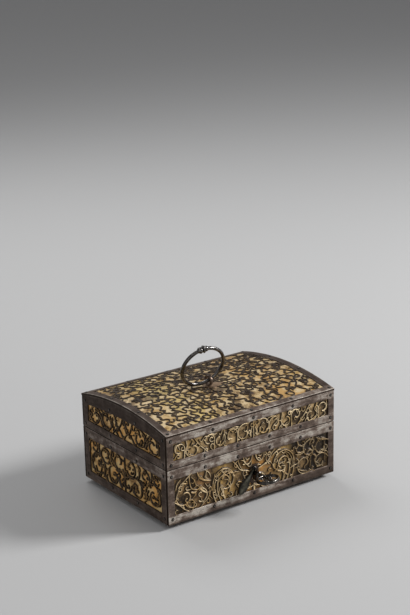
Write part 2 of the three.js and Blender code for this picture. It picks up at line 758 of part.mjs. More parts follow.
// Two hinges nailed on the back, each with a body leaf, a lid leaf and a pin.
function addHinges() {
  const leafY = halfDepth + hingeLeafThickness;
  const clear = knuckleRadius + knuckleGap;
  const half = hingeWidth / 2;
  const tongue = lidKnuckleWidth / 2;
  const bore = hingePinRadius + hingePinClearance;
  for (const [name, x] of [['left', -hingeSpacing / 2], ['right', hingeSpacing / 2]]) {
    const hole = knuckle(x - half - cutPast, x + half + cutPast, bore);
    const bodyLeaf = [solidFrom(block([x - half, halfDepth, hingeZ - clear - hingeBodyLeafLength],
      [x + half, leafY, hingeZ - clear]))];
    for (const [from, to] of [[-half, -tongue - knuckleGap], [tongue + knuckleGap, half]]) {
      bodyLeaf.push(knuckle(x + from, x + to, knuckleRadius));
      bodyLeaf.push(solidFrom(block([x + from, halfDepth, hingeZ - clear - joinBite],
        [x + to, hingeY - bore, hingeZ - seamGap])));
    }
    add(`hinge_${name}_body_leaf`, geometryFrom(joined(bodyLeaf, [hole])), materials.iron);

    const heel = block([x - tongue, 0, -heelThickness / 2], [x + tongue, heelReach, heelThickness / 2]);
    heel.rotateX(heelAngle).translate(0, hingeY, hingeZ);
    const lidLeaf = [
      solidFrom(block([x - half, halfDepth, hingeZ + clear],
        [x + half, leafY, hingeZ + clear + hingeLidLeafLength])),
      solidFrom(block([x - tongue, halfDepth, hingeZ + seamGap],
        [x + tongue, hingeY - bore, hingeZ + clear + joinBite])),
      knuckle(x - tongue, x + tongue, knuckleRadius),
      solidFrom(heel),
    ];
    add(`hinge_${name}_lid_leaf`, geometryFrom(joined(lidLeaf, [hole])), materials.iron);

    const reach = half + knuckleGap;
    const end = reach + hingePinHeadLength;
    const pin = [
      knuckle(x - reach, x + reach, hingePinRadius, 8),
      knuckle(x - end, x - reach, hingePinHeadRadius, 8),
      knuckle(x + reach, x + end, hingePinHeadRadius, 8),
    ];
    add(`hinge_${name}_pin`, geometryFrom(joined(pin)), materials.iron);
  }
}

// The staple that the ring hangs in, its rove and its clinched ends inside the lid.
function addStaple() {
  const eyeZ = crown + ringEyeHeight;
  const outer = stapleHoleRadius + stapleBar;
  const shoulder = eyeZ - vaultHeight(ringEyeY, 0) - seat;
  const from = Math.asin(-shoulder / outer);
  const half = stapleShank / 2;
  const under = vaultHeight(Math.abs(ringEyeY) + roveRadius, underTopBoard) - seat;
  const roveBottom = under - roveThickness;
  const clinchTop = roveBottom - seat;
  const outline = [
    ...circlePoints(ringEyeY, eyeZ, outer, 14, from, Math.PI - 2 * from),
    [ringEyeY - half, eyeZ - shoulder], [ringEyeY - half, clinchTop],
    [ringEyeY - clinchReach, clinchTop], [ringEyeY - clinchReach, clinchTop - clinchThickness],
    [ringEyeY + clinchReach, clinchTop - clinchThickness], [ringEyeY + clinchReach, clinchTop],
    [ringEyeY + half, clinchTop], [ringEyeY + half, eyeZ - shoulder],
  ];
  const hole = circlePoints(ringEyeY, eyeZ, stapleHoleRadius, 12);
  const staple = prism(outline, stapleWidth, [hole]);
  add('ring_staple', turned(staple, 'right', [ringEyeX - stapleWidth / 2, 0, 0]), materials.blackIron);

  const square = rectangle(-half - stapleHoleClearance, -half - stapleHoleClearance,
    half + stapleHoleClearance, half + stapleHoleClearance);
  const rove = prism(circlePoints(0, 0, roveRadius, 12), roveThickness, [square]);
  add('staple_rove', rove.translate(ringEyeX, ringEyeY, roveBottom), materials.blackIron);
}

// The ring handle with its beaded knop, leaning as it is left.
function addRing() {
  const wire = new THREE.TorusGeometry(ringRadius, ringWireRadius, 8, 28);
  const knopProfile = [
    [0, -5.4], [1.9, -5.2], [2.9, -3.4], [2.7, -1.9], [1.95, -0.9], [3.4, -0.5], [3.4, 0.5],
    [2, 0.9], [2.6, 1.9], [2.3, 3.2], [1.8, 4], [0, 4.2],
  ].map(([r, x]) => new THREE.Vector2(r, x));
  const knop = new THREE.LatheGeometry(knopProfile, 10).rotateZ(-Math.PI / 2);
  knop.translate(0, ringRadius, 0).rotateZ(-THREE.MathUtils.degToRad(knopFromTop));
  const ring = geometryFrom(solidFrom(wire).add(solidFrom(knop)));

  const up = new THREE.Vector3(
    -Math.sin(ringLean),
    -Math.sin(ringTiltForward) * Math.cos(ringLean),
    Math.cos(ringTiltForward) * Math.cos(ringLean),
  );
  const level = new THREE.Vector3(
    Math.cos(ringLean),
    -Math.sin(ringTiltForward) * Math.sin(ringLean),
    Math.cos(ringTiltForward) * Math.sin(ringLean),
  );
  const across = level.clone().applyAxisAngle(up, ringTwist);
  const place = new THREE.Matrix4().makeBasis(across, up, new THREE.Vector3().crossVectors(across, up));
  const eye = new THREE.Vector3(ringEyeX, ringEyeY, crown + ringEyeHeight);
  place.setPosition(eye.addScaledVector(up, ringRadius));
  add('ring_handle', ring.applyMatrix4(place), materials.polishedIron);
}

// The key, with its bow level and its bit to the right.
function addKey() {
  const bowY = -halfDepth - keyBowFromPlate;
  const shankStart = bowY + keyBowDepth / 2 - keyBowBar;
  const collarStart = shankStart + keyCollarFromBow;
  const collarEnd = collarStart + keyCollarLength;
  const collarSlope = keyCollarLength / 4;
  const shankProfile = [
    [0, shankStart], [keyShankRadius, shankStart], [keyShankRadius, collarStart],
    [keyCollarRadius, collarStart + collarSlope], [keyCollarRadius, collarEnd - collarSlope],
    [keyShankRadius, collarEnd], [keyShankRadius, keyTip], [0, keyTip],
  ].map(([r, y]) => new THREE.Vector2(r, y));
  const shank = new THREE.LatheGeometry(shankProfile, 12);

  const oval = (reachX, reachY, sides) => circlePoints(0, 0, 1, sides)
    .map(([u, v]) => [u * reachX, v * reachY + bowY]);
  const halfBar = keyBowBar / 2;
  const innerReach = keyBowWidth / 2 - keyBowBar;
  const innerDepth = keyBowDepth / 2 - keyBowBar;
  const lobeReach = 1.35;
  const lobe = (sign) => circlePoints(0, 0, 1, 10, -lobeReach, 2 * lobeReach)
    .map(([u, v]) => [sign * Math.max(u * innerReach, halfBar), sign * v * innerDepth + bowY]);
  const bow = prism(oval(keyBowWidth / 2, keyBowDepth / 2, 20), keyBowThickness,
    [lobe(1), lobe(-1)], -keyBowThickness / 2);

  const bitStart = keyTip - keyBitLength;
  const bitEnd = keyTip - 0.4;
  const bit = block([0, bitStart, -keyBitThickness / 2], [keyBitReach, bitEnd, keyBitThickness / 2]);
  const wardStart = bitStart + keyWardFromEnd;
  const ward = block([keyBitReach - keyWardDepth, wardStart, -keyBitThickness],
    [keyBitReach + cutPast, wardStart + keyWardWidth, keyBitThickness]);
  const bore = new THREE.CylinderGeometry(keyBoreRadius, keyBoreRadius, 2 * keyBoreDepth, 10);
  bore.translate(0, keyTip, 0);
  const key = joined([solidFrom(shank), solidFrom(bow), solidFrom(bit)], [solidFrom(ward), solidFrom(bore)]);
  add('key', geometryFrom(key).translate(0, 0, keyZ), materials.blackIron);
}

// The leaf-shaped keyhole cover, pushed aside by the key, and its rivet.
function addCover() {
  const back = halfDepth + seat;
  const eye = rivetHeadRadius;
  const shoulder = coverNeckLength + 3.5;
  const edge = [
    [eye / 2, eye], [eye, eye / 2], [eye, -eye / 2], [coverNeckHalfWidth, -eye * 1.4],
    [coverNeckHalfWidth, -coverNeckLength], [coverHalfWidth * 0.8, -shoulder],
    [coverHalfWidth, -coverLength * 0.55], [coverHalfWidth * 0.72, -coverLength * 0.8],
  ];
  const leaf = [
    ...edge.map(([u, v]) => [-u, v]), [0, -coverLength], ...edge.reverse(),
  ];
  const swing = THREE.MathUtils.degToRad(-coverAngle);
  const turnedLeaf = leaf.map(([u, v]) => [
    coverPivotX + u * Math.cos(swing) - v * Math.sin(swing),
    coverPivotZ + u * Math.sin(swing) + v * Math.cos(swing),
  ]);
  const hole = circlePoints(coverPivotX, coverPivotZ, rivetRadius + rivetClearance, 8);
  const cover = prism(turnedLeaf, coverThickness, [hole]);
  add('keyhole_cover', turned(cover, 'front', [0, -back, 0]), materials.blackIron);

  const headStart = back + coverThickness + seat;
  const inner = coreY + groundThickness;
  const rivetProfile = [
    [0, inner], [rivetRadius, inner], [rivetRadius, headStart], [rivetHeadRadius, headStart],
    [rivetHeadRadius * 0.6, headStart + rivetHeadHeight], [0, headStart + rivetHeadHeight],
  ].map(([r, y]) => new THREE.Vector2(r, y));
  const rivet = new THREE.LatheGeometry(rivetProfile, 8).rotateX(Math.PI);
  add('keyhole_cover_rivet', rivet.translate(coverPivotX, 0, coverPivotZ), materials.blackIron);
}

// The lock inside the front board: plate, case, key post, guides and the bolt.
function addLock() {
  const plateY = -innerY + lockPlateThickness;
  const caseBack = keyTip + lockRoom + lockCaseWall;
  const margin = lockPlateMargin;
  const round = lockCaseWall + guideWall + 2 * slideClearance;
  const low = keyZ + boltBarTop - boltBar - round;
  const high = keyZ + prongTop + round;
  const lockLeft = prongTip - boltThrow - 2 * slideClearance - lockCaseWall;
  const lockRight = boltRight + 2 * slideClearance + lockCaseWall;
  const plate = prism(rectangle(lockLeft - margin, low - margin, lockRight + margin, high + margin),
    lockPlateThickness, [keyholeOutline(0, keyZ, 0)]);
  add('lock_plate', turned(plate, 'front', [0, plateY, 0]), materials.iron);

  const shell = solidFrom(block([lockLeft, plateY, low], [lockRight, caseBack, high]));
  const hollow = solidFrom(block([lockLeft + lockCaseWall, plateY - cutPast, low + lockCaseWall],
    [lockRight - lockCaseWall, caseBack - lockCaseWall, high - lockCaseWall]));
  const slotReach = keeperThickness / 2 + keeperSideClearance + slideClearance;
  const slot = solidFrom(block([keeperX - slotReach, plateY - cutPast, high - 2 * lockCaseWall],
    [keeperX + slotReach, caseBack - lockCaseWall, high + cutPast]));
  add('lock_case', geometryFrom(joined([shell], [hollow, slot])), materials.iron);

  const postFront = keyTip - keyBoreDepth + keyPostTipClearance;
  const postBack = caseBack - lockCaseWall;
  const post = new THREE.CylinderGeometry(keyPostRadius, keyPostRadius, postBack - postFront, 8);
  add('key_post', post.translate(0, (postFront + postBack) / 2, keyZ), materials.iron);

  const boltFront = plateY + boltFromLockPlate;
  const bolt = turned(prism(boltOutline, boltThickness), 'front', [0, boltFront + boltThickness, keyZ]);
  add('lock_bolt', bolt, materials.iron);

  for (const [name, x, bottom, top] of [
    ['left', guideLeftX, boltProngAboveKey, prongTop],
    ['right', guideRightX, boltBarTop - boltBar, boltBarTop],
  ]) {
    const gap = rectangle(boltFront - slideClearance, keyZ + bottom - slideClearance,
      boltFront + boltThickness + slideClearance, keyZ + top + slideClearance);
    const outline = rectangle(plateY, keyZ + bottom - slideClearance - guideWall,
      boltFront + boltThickness + slideClearance + guideWall, keyZ + top + slideClearance + guideWall);
    const guide = turned(prism(outline, guideWidth, [gap]), 'right', [x - guideWidth / 2, 0, 0]);
    add(`bolt_guide_${name}`, guide, materials.iron);
  }
}

// The keeper on the lid's front board. The bolt's prong goes through its eye.
function addKeeper() {
  const boltFront = -innerY + lockPlateThickness + boltFromLockPlate;
  const eyeFront = boltFront - 2 * slideClearance;
  const eyeBack = boltFront + boltThickness + 2 * slideClearance;
  const eyeBottom = keyZ + boltProngAboveKey - 2 * slideClearance;
  const eyeTop = keyZ + prongTop + 2 * slideClearance;
  const left = keeperX - keeperThickness / 2;
  const right = keeperX + keeperThickness / 2;
  const rise = lidBottom + keeperFromLidEdge;
  const bracketTop = rise + keeperBracketHeight;
  const half = keeperPlateLength / 2;
  const tongue = solidFrom(block([left, eyeFront - keeperWall, eyeBottom - keeperWall],
    [right, eyeBack + keeperWall, bracketTop]));
  const bracket = solidFrom(block([left, -innerY, rise], [right, eyeBack + keeperWall, bracketTop]));
  const plate = solidFrom(block([keeperX - half, -innerY, rise],
    [keeperX + half, -innerY + lockPlateThickness, rise + keeperPlateLength]));
  const eye = solidFrom(block([left - cutPast, eyeFront, eyeBottom], [right + cutPast, eyeBack, eyeTop]));
  add('lid_keeper', geometryFrom(joined([tongue, bracket, plate], [eye])), materials.iron);
}

addBodyBoards();
addBodyMounts();
addLidBoards();
addLidMounts();
addLidTop();
addFeet();
addHinges();
addStaple();
addRing();
addKey();
addCover();
addLock();
addKeeper();

export default whole;
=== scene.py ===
# An iron-mounted strongbox: oak boards, gilt sheets and pierced iron scrollwork, with a low vaulted lid.
# Shapes are worked out in millimetres, in the frame's own directions, and made in metres.
import math

import bmesh
import bpy
import numpy as np
from mathutils import Matrix, Vector


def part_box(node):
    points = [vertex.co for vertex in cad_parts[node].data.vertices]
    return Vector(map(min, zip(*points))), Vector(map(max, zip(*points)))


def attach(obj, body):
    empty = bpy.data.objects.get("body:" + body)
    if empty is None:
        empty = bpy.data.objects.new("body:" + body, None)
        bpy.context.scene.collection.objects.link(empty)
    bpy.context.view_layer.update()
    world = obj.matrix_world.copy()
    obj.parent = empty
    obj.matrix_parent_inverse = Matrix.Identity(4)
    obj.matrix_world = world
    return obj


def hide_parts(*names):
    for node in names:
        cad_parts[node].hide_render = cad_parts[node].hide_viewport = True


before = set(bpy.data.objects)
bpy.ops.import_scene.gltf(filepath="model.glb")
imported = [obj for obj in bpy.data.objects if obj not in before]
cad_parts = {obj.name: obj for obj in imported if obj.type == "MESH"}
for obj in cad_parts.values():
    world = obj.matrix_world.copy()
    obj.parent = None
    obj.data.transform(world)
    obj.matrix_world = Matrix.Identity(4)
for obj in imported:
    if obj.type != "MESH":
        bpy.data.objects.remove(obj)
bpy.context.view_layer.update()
print("frame loaded")

metre = 0.001
turn = 2 * math.pi
longSides = ("front", "back")


def boxOf(node):
    low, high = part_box(node)
    return np.array(low) / metre, np.array(high) / metre


# Places that the frame gives, in millimetres
bodyLow, bodyHigh = boxOf("body_front_board")
topLow, topHigh = boxOf("lid_top_plate")
bodyBottom = bodyLow[2]
bodyTop = bodyHigh[2]
lidBottom = boxOf("lid_front_plate")[0][2]
keyEnd = boxOf("key")[1][1]  # the key's tip, inside the lock
middleY = (topLow[1] + topHigh[1]) / 2
halfLength = topHigh[0]
halfDepth = (topHigh[1] - topLow[1]) / 2
sheetFace = {
    side: boxOf(f"body_{side}_ground")[end][axis]
    for side, end, axis in (("front", 0, 1), ("back", 1, 1), ("left", 0, 0), ("right", 1, 0))
}

vault = {
    "rise": 8.0,
    "edge": 84.0,  # height of the lid's upper edges above the table
    "seat": 0.3,
    "bevel": 0.3,
    "boardDrop": 2.4,
    "boardThickness": 5.0,
    "boardGap": 0.05,
    "steps": (33, 49),  # points along the length and across the depth
}
vaultRadius = (halfDepth ** 2 + vault["rise"] ** 2) / (2 * vault["rise"])
crown = vault["edge"] + vault["rise"]


# Height of a vaulted layer: a circle's arc across the lid's depth, drop millimetres under the outer face.
def vaultZ(v, drop):
    return crown - vaultRadius + np.sqrt((vaultRadius - drop) ** 2 - v ** 2)


def circle(count):
    return np.linspace(0, turn, count, endpoint=False)


def unit(vectors):
    return vectors / np.linalg.norm(vectors, axis=1)[:, None]


# Surfaces. A shape is a dictionary of points, faces and marks, and marks are values for the materials.
# Its quads join an array of rows x columns x 3 points. Each row is a ring, unless ringed says no. A looped
# shape joins its last row to its first, and the others are capped by a flat face at both ends.
def gridShape(points, looped=False, ringed=True, capped=True, **marks):
    rows, columns = points.shape[:2]
    i, j = np.meshgrid(np.arange(rows - (not looped)), np.arange(columns - (not ringed)), indexing="ij")
    nextRow = (i + 1) % rows
    nextColumn = (j + 1) % columns
    quads = [i * columns + j, i * columns + nextColumn, nextRow * columns + nextColumn, nextRow * columns + j]
    faces = [np.stack(quads, -1).reshape(-1, 4)]
    if capped and ringed and not looped:
        ring = np.arange(columns)
        faces += [ring[None, ::-1], (ring + (rows - 1) * columns)[None, :]]
    flatMarks = {name: np.broadcast_to(values, (rows, columns)).ravel() for name, values in marks.items()}
    return {"points": points.reshape(-1, 3), "faces": faces, "marks": flatMarks}


def joinShapes(shapes):
    starts = np.cumsum([0] + [len(shape["points"]) for shape in shapes])
    marks = {
        name: np.concatenate([shape["marks"].get(name, np.zeros(len(shape["points"]))) for shape in shapes])
        for name in {name for shape in shapes for name in shape["marks"]}
    }
    return {
        "points": np.vstack([shape["points"] for shape in shapes]),
        "faces": [face + start for shape, start in zip(shapes, starts) for face in shape["faces"]],
        "marks": marks,
    }


def faceOutwards(mesh, merge=False):
    surface = bmesh.new()
    surface.from_mesh(mesh)
    if merge:
        bmesh.ops.remove_doubles(surface, verts=surface.verts, dist=1e-6)
    bmesh.ops.recalc_face_normals(surface, faces=surface.faces)
    surface.to_mesh(mesh)
    surface.free()


# Puts a shape, or a list of shapes, into a mesh, and lets the piece ride on its body.
def makePiece(name, shapes, material, body, replaced=(), sharpAngle=50):
    shape = joinShapes(shapes if isinstance(shapes, list) else [shapes])
    mesh = bpy.data.meshes.new(name)
    faces = [row for group in shape["faces"] for row in group.tolist()]
    mesh.from_pydata((shape["points"] * metre).tolist(), [], faces)
    for markName, values in shape["marks"].items():
        mark = mesh.attributes.new(markName, "FLOAT", "POINT")
        mark.data.foreach_set("value", values.astype(np.float32))
    faceOutwards(mesh)
    mesh.shade_smooth()
    mesh.set_sharp_from_angle(angle=math.radians(sharpAngle))
    mesh.materials.append(material)
    piece = bpy.data.objects.new(name, mesh)
    bpy.context.scene.collection.objects.link(piece)
    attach(piece, body)
    if replaced:
        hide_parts(*replaced)
    return piece


# A slow, even unevenness from minus size to size: three crossed sine waves with seeded phases.
def waver(u, v, size, seed):
    phases = np.random.default_rng(seed).uniform(0, turn, 3)
    wave = np.sin(u * 0.21 + v * 0.13 + phases[0]) + np.sin(v * 0.31 - u * 0.11 + phases[1])
    return size * (wave + np.sin(u * 0.47 + v * 0.41 + phases[2])) / 3


# A profile of radius and height turned round an upright axis, or round the axis that points to the viewer.
def lathe(profile, sides, centre, axis="z", **marks):
    profile = np.array(profile, float)
    x = profile[:, :1] * np.cos(circle(sides))
    y = profile[:, :1] * np.sin(circle(sides))
    along = np.repeat(profile[:, 1:2], sides, 1)
    points = np.stack([x, y, along] if axis == "z" else [x, -along, y], -1)
    return gridShape(points + np.array(centre), **marks)


# Four levels of a bar from one end to the other, each with its inset: the two ends are bevelled.
def bevelled(start, end, soft, inset):
    return (start, inset), (start + soft, 0), (end - soft, 0), (end, inset)


# More points on a smooth curve through a profile's points, by the cubic of each four neighbours.
def smoothProfile(points, perSpan=5):
    points = np.array(points, float)
    padded = np.vstack([points[0], points, points[-1]])
    before, start, end, after = (padded[k:len(padded) - 3 + k, None] for k in range(4))
    t = np.linspace(0, 1, perSpan, endpoint=False)[None, :, None]
    slopeIn = (end - before) / 2
    slopeOut = (after - start) / 2
    cubic = (2 * start - 2 * end + slopeIn + slopeOut) * t ** 3
    square = (-3 * start + 3 * end - 2 * slopeIn - slopeOut) * t ** 2
    curve = cubic + square + slopeIn * t + start
    return np.vstack([curve.reshape(-1, points.shape[1]), points[-1:]])


# How far each point of a line is from its start, along the line.
def travelled(line):
    return np.concatenate([[0], np.cumsum(np.linalg.norm(np.diff(line, axis=0), axis=1))])


# The same line with points at an even spacing.
def evenly(line, step):
    travel = travelled(line)
    at = np.linspace(0, travel[-1], max(int(travel[-1] / step), 4) + 1)
    return np.column_stack([np.interp(at, travel, line[:, k]) for k in range(line.shape[1])])


# An outline as a loop of so many even points.
def evenLoop(outline, count):
    return evenly(outline, travelled(outline)[-1] / (count + 0.5))[:count]


# Rounds off the corners of a line of even steps, and keeps its two ends.
def eased(line, rounds):
    for _ in range(rounds):
        inner = (line[:-2] + 2 * line[1:-1] + line[2:]) / 4
        line = np.vstack([line[:1], inner, line[-1:]])
    return line


# A round bar along a level line. radius is one value or one for each point.
def tube(line, radius, sides):
    across = unit(np.cross(np.gradient(line, axis=0), (0, 0, 1)))
    angle = circle(sides)[:, None]
    ring = np.cos(angle) * across[:, None] + np.sin(angle) * np.array([0, 0, 1])
    return gridShape(line[:, None] + np.broadcast_to(radius, len(line))[:, None, None] * ring)


# Where a flat design lies. u runs along the wall, v is height, and h is the distance out from the gilt sheet.
def onWall(side):
    out = 1 if side in ("back", "right") else -1
    way = 1 if side in ("front", "right") else -1

    def place(u, v, h):
        face = sheetFace[side] + out * h
        if side in longSides:
            return np.stack([way * u, face, v], -1)
        return np.stack([face, middleY + way * u, v], -1)

    return place


def onVault(u, v, h):
    return np.stack([u, middleY + v, vaultZ(v, plate["thickness"] - h)], -1)


# The pierced plates
plate = {
    "thickness": 1.4, "cornerLap": 0.2, "cornerGap": 0.3, "cornerGroove": 0.9,
    "frontSideBorder": 5.4, "endSideBorder": 8.1, "bodyBottomBorder": 7.8, "bodyTopBorder": 9.0,
    "lidBottomBorder": 6.7, "lidTopBorder": 6.7, "lidEndTopBorder": 6.4, "endArchRise": 3.1,
    "topSideBorder": 7.0, "topFrontBorder": 6.0,
    "nailRadius": 1.3, "nailHeight": 0.6, "nailFromOpening": 3.1, "nailSides": 12, "nailSquaring": 0.06,
    "unevenness": 0.06, "rubBlend": 2.0,  # how wide the rub's change is at an opening
    "bodyNails": (5, 6), "lidNails": (6, 5), "endNails": (4, 4),  # in the lower and the upper row
    "topNails": (5, 4), "topWear": 0.7,
    "longSteps": (64, 18), "endSteps": (44, 18), "topSteps": (64, 48),  # points along and up each border
}
plateTop = float(vaultZ(halfDepth, plate["thickness"] + vault["seat"]))

# Each row holds the share of the way from the outer to the inner edge, the height, and the wear at the edge.
borderProfile = np.array([
    [0, 0, 0], [0, 0.86, 0], [0.02, 0.96, 1], [0.05, 1, 1], [0.10, 1, 0.1], [0.5, 1, 0], [0.8, 1, 0],
    [0.94, 1, 0.1], [0.98, 0.93, 0.2], [1, 0.78, 0], [1, 0, 0],
])


# A closed outline with straight sides and bottom, and a top whose height is a function of u.
def borderLoop(reach, low, topOf, steps):
    along, upright = steps
    level = np.linspace(-reach, reach, along, endpoint=False)
    shoulder = float(topOf(np.array([reach]))[0])
    rising = low + np.linspace(0, 1, upright, endpoint=False) * (shoulder - low)
    return np.vstack([
        np.column_stack([level, np.full(along, low)]),
        np.column_stack([np.full(upright, reach), rising]),
        np.column_stack([-level, topOf(-level)]),
        np.column_stack([np.full(upright, -reach), low + shoulder - rising]),
    ])


# A flat band of metal between two outlines of as many points: the border's profile carried round them.
def stripBetween(outer, inner, place, lift=0.0, rubOf=None, wear=0.15):
    share, rise, worn = borderProfile.T[:, None]
    flat = outer[:, None] * (1 - share[..., None]) + inner[:, None] * share[..., None]
    u = flat[..., 0]
    v = flat[..., 1]
    uneven = waver(u, v, plate["unevenness"], 3) * (rise > 0.8)
    height = rise * (plate["thickness"] - lift) + lift + uneven
    # The walls get no rub and stay dark iron; in the grooves between plates this dark is also painted shade.
    rub = rubOf(u, v) * (rise > 0.9) if rubOf else 0.0
    return gridShape(place(u, v, height), looped=True, edge=worn * wear, rub=rub)


# Scrollwork. The widths are shares of the half width at a scroll's start, middle and end.
scrollwork = {
    # foot is the width of a dark, nearly flat band beside each rib: painted shade.
    "halfWidth": 0.72, "endHalfWidth": 0.53, "foot": 0.45, "lift": 0.0, "height": plate["thickness"],
    "lap": 1.5, "step": 0.62, "rounds": 3, "coilSteps": 28, "coilEase": 1.6,
    "endWidth": 0.2, "endHeight": 0.8,  # where a rib ends, in shares of its width and height
    "vineWidths": (1, 1, 1.35), "coilWidths": (1.25, 0.85, 0.9), "twigWidths": (0.9, 1.05, 0.75),
    "strandWidths": (0.45, 0.8, 0.4), "leafWidths": (0.6, 1.9, 0.5), "hookWidths": (1.6, 0.9, 2.4),
    "linkWidths": (2.6, 1.3, 0.3), "spurWidths": (0.4, 0.75, 1.5), "stemWidths": (0.9, 0.9, 0.9),
    "stalkWidths": (2.3, 1.9, 1.5),
}


# Scrolls from rows of points. A row's last entry may be a coil: its four numbers are the centre, the turns
# (anticlockwise above zero) and the last radius.
def scrolls(rows, widths=None):
    found = []
    for row in rows:
        coil = row[-1] if len(row[-1]) == 4 else None
        named = widths or ("vineWidths" if coil is not None else "twigWidths")
        found.append({"stem": row if coil is None else row[:-1], "coil": coil, "widths": named})
    return found


def bothWays(half):
    mirrored = [
        {
            "stem": [(-u, v) for u, v in one["stem"]],
            "coil": one["coil"] and tuple(np.multiply(one["coil"], (-1, 1, -1, 1))),
            "widths": one["widths"],
        }
        for one in half
    ]
    return half + mirrored


# The stem's smooth curve, then a spiral whose radius falls from the stem's end to the last radius.
def scrollLine(one):
    line = smoothProfile(one["stem"], 8)
    if one["coil"] is None:
        return line
    u, v, turns, lastRadius = one["coil"]
    reach = line[-1] - (u, v)
    radius = np.hypot(*reach)
    share = np.linspace(0, 1, int(abs(turns) * scrollwork["coilSteps"]))[1:]
    angle = math.atan2(reach[1], reach[0]) + turn * turns * share
    spiral = radius + (lastRadius - radius) * share ** scrollwork["coilEase"]
    return np.vstack([line, np.column_stack([u + spiral * np.cos(angle), v + spiral * np.sin(angle)])])


# Across a rib: share of its half width, extra width, share of its height, and a painted highlight at its
# crest.
# The foot, one extra width out on each side and nearly flat, is painted shade beside the rib.
ribProfile = np.array([
    [-1, -1, 0, 0], [-1, -1, 0.06, 0], [-1, 0, 0.25, 0], [-0.7, 0, 0.8, 0.05], [-0.28, 0, 0.98, 1],
    [0.28, 0, 0.98, 1], [0.7, 0, 0.8, 0.05], [1, 0, 0.25, 0], [1, 1, 0.06, 0], [1, 1, 0, 0],
])
vineProfile = np.array([
    [-1, -1, 0, 0], [-0.9, 0, 0.8, 0.3], [-0.3, 0, 1, 1], [0.3, 0, 1, 1], [0.9, 0, 0.8, 0.3], [1, 1, 0, 0],
])


# A rib along a flat line: its profile carried along it, wider or narrower by the widths, with round ends.
def ribShape(line, widths, size, profile, place):
    run = unit(np.gradient(line, axis=0))
    travel = travelled(line)
    share = travel / travel[-1]
    first, middle, last = widths
    bow = 4 * share * (1 - share)
    half = size["halfWidth"] * ((first + (last - first) * share) * (1 - bow) + middle * bow)
    toEnd = np.clip(np.minimum(travel, travel[-1] - travel) / half, 0, 1)
    roundEnd = np.sqrt(1 - (1 - toEnd) ** 2 * (1 - scrollwork["endWidth"] ** 2))[:, None]
    # The profile's last column marks the crest's painted highlight.
    across, extra, rise, worn = profile.T[:, None]
    offset = (across * half[:, None] + extra * size["foot"]) * roundEnd
    u = line[:, :1] - run[:, 1:] * offset
    v = line[:, 1:] + run[:, :1] * offset
    fall = (1 - scrollwork["endHeight"]) / (1 - scrollwork["endWidth"])
    height = rise * (size["height"] - size["lift"]) * (1 - fall * (1 - roundEnd)) + size["lift"]
    return gridShape(place(u, v, height), edge=worn)


# All ribs of a design, fitted to an opening given by its half width, its foot and its top.
def scrollShapes(design, opening, place, size=scrollwork, profile=ribProfile):
    reach, low, high = opening
    heights = [v for one in design["scrolls"] for _, v in one["stem"]]
    lowest = min(heights)
    lap = scrollwork["lap"]
    scale = np.array([2 * reach / design["width"], (high - low + 2 * lap) / (max(heights) - lowest)])
    shapes = []
    for one in design["scrolls"] + design["fine"]:
        line = (scrollLine(one) - (0, lowest)) * scale + (0, low - lap)
        line = eased(evenly(line, size["step"]), size["rounds"])
        shapes.append(ribShape(line, scrollwork[one["widths"]], size, profile, place))
    return shapes


hook = {
    "inside": (0.15, 0.85),  # where it may stand in its cell
    "radius": (1.5, 2.7),
    "turns": (0.4, 0.8),
    "tail": (2.0, 4.5),
    "lastRadius": 0.5,  # in shares of its radius
}


# Small hooks that fill a field between the main scrolls, in a loose grid. They open in any direction.
def hooks(width, height, across, up, seed):
    chance = np.random.default_rng(seed)
    found = []
    for i, j in np.ndindex(across, up):
        shareU = (i + chance.uniform(*hook["inside"])) / across - 0.5
        middle = np.array([shareU * width, (j + chance.uniform(*hook["inside"])) / up * height])
        radius = chance.uniform(*hook["radius"])
        bearing = chance.uniform(0, turn)
        way = np.array([math.cos(bearing), math.sin(bearing)])
        turns = chance.uniform(*hook["turns"]) * chance.choice((-1, 1))
        start = middle + radius * way
        tail = start + chance.uniform(*hook["tail"]) * np.array([way[1], -way[0]]) * np.sign(turns)
        coil = (*middle, turns, radius * hook["lastRadius"])
        found += scrolls([[tuple(tail), tuple(start), coil]], chance.choice(["strandWidths", "spurWidths"]))
    return found


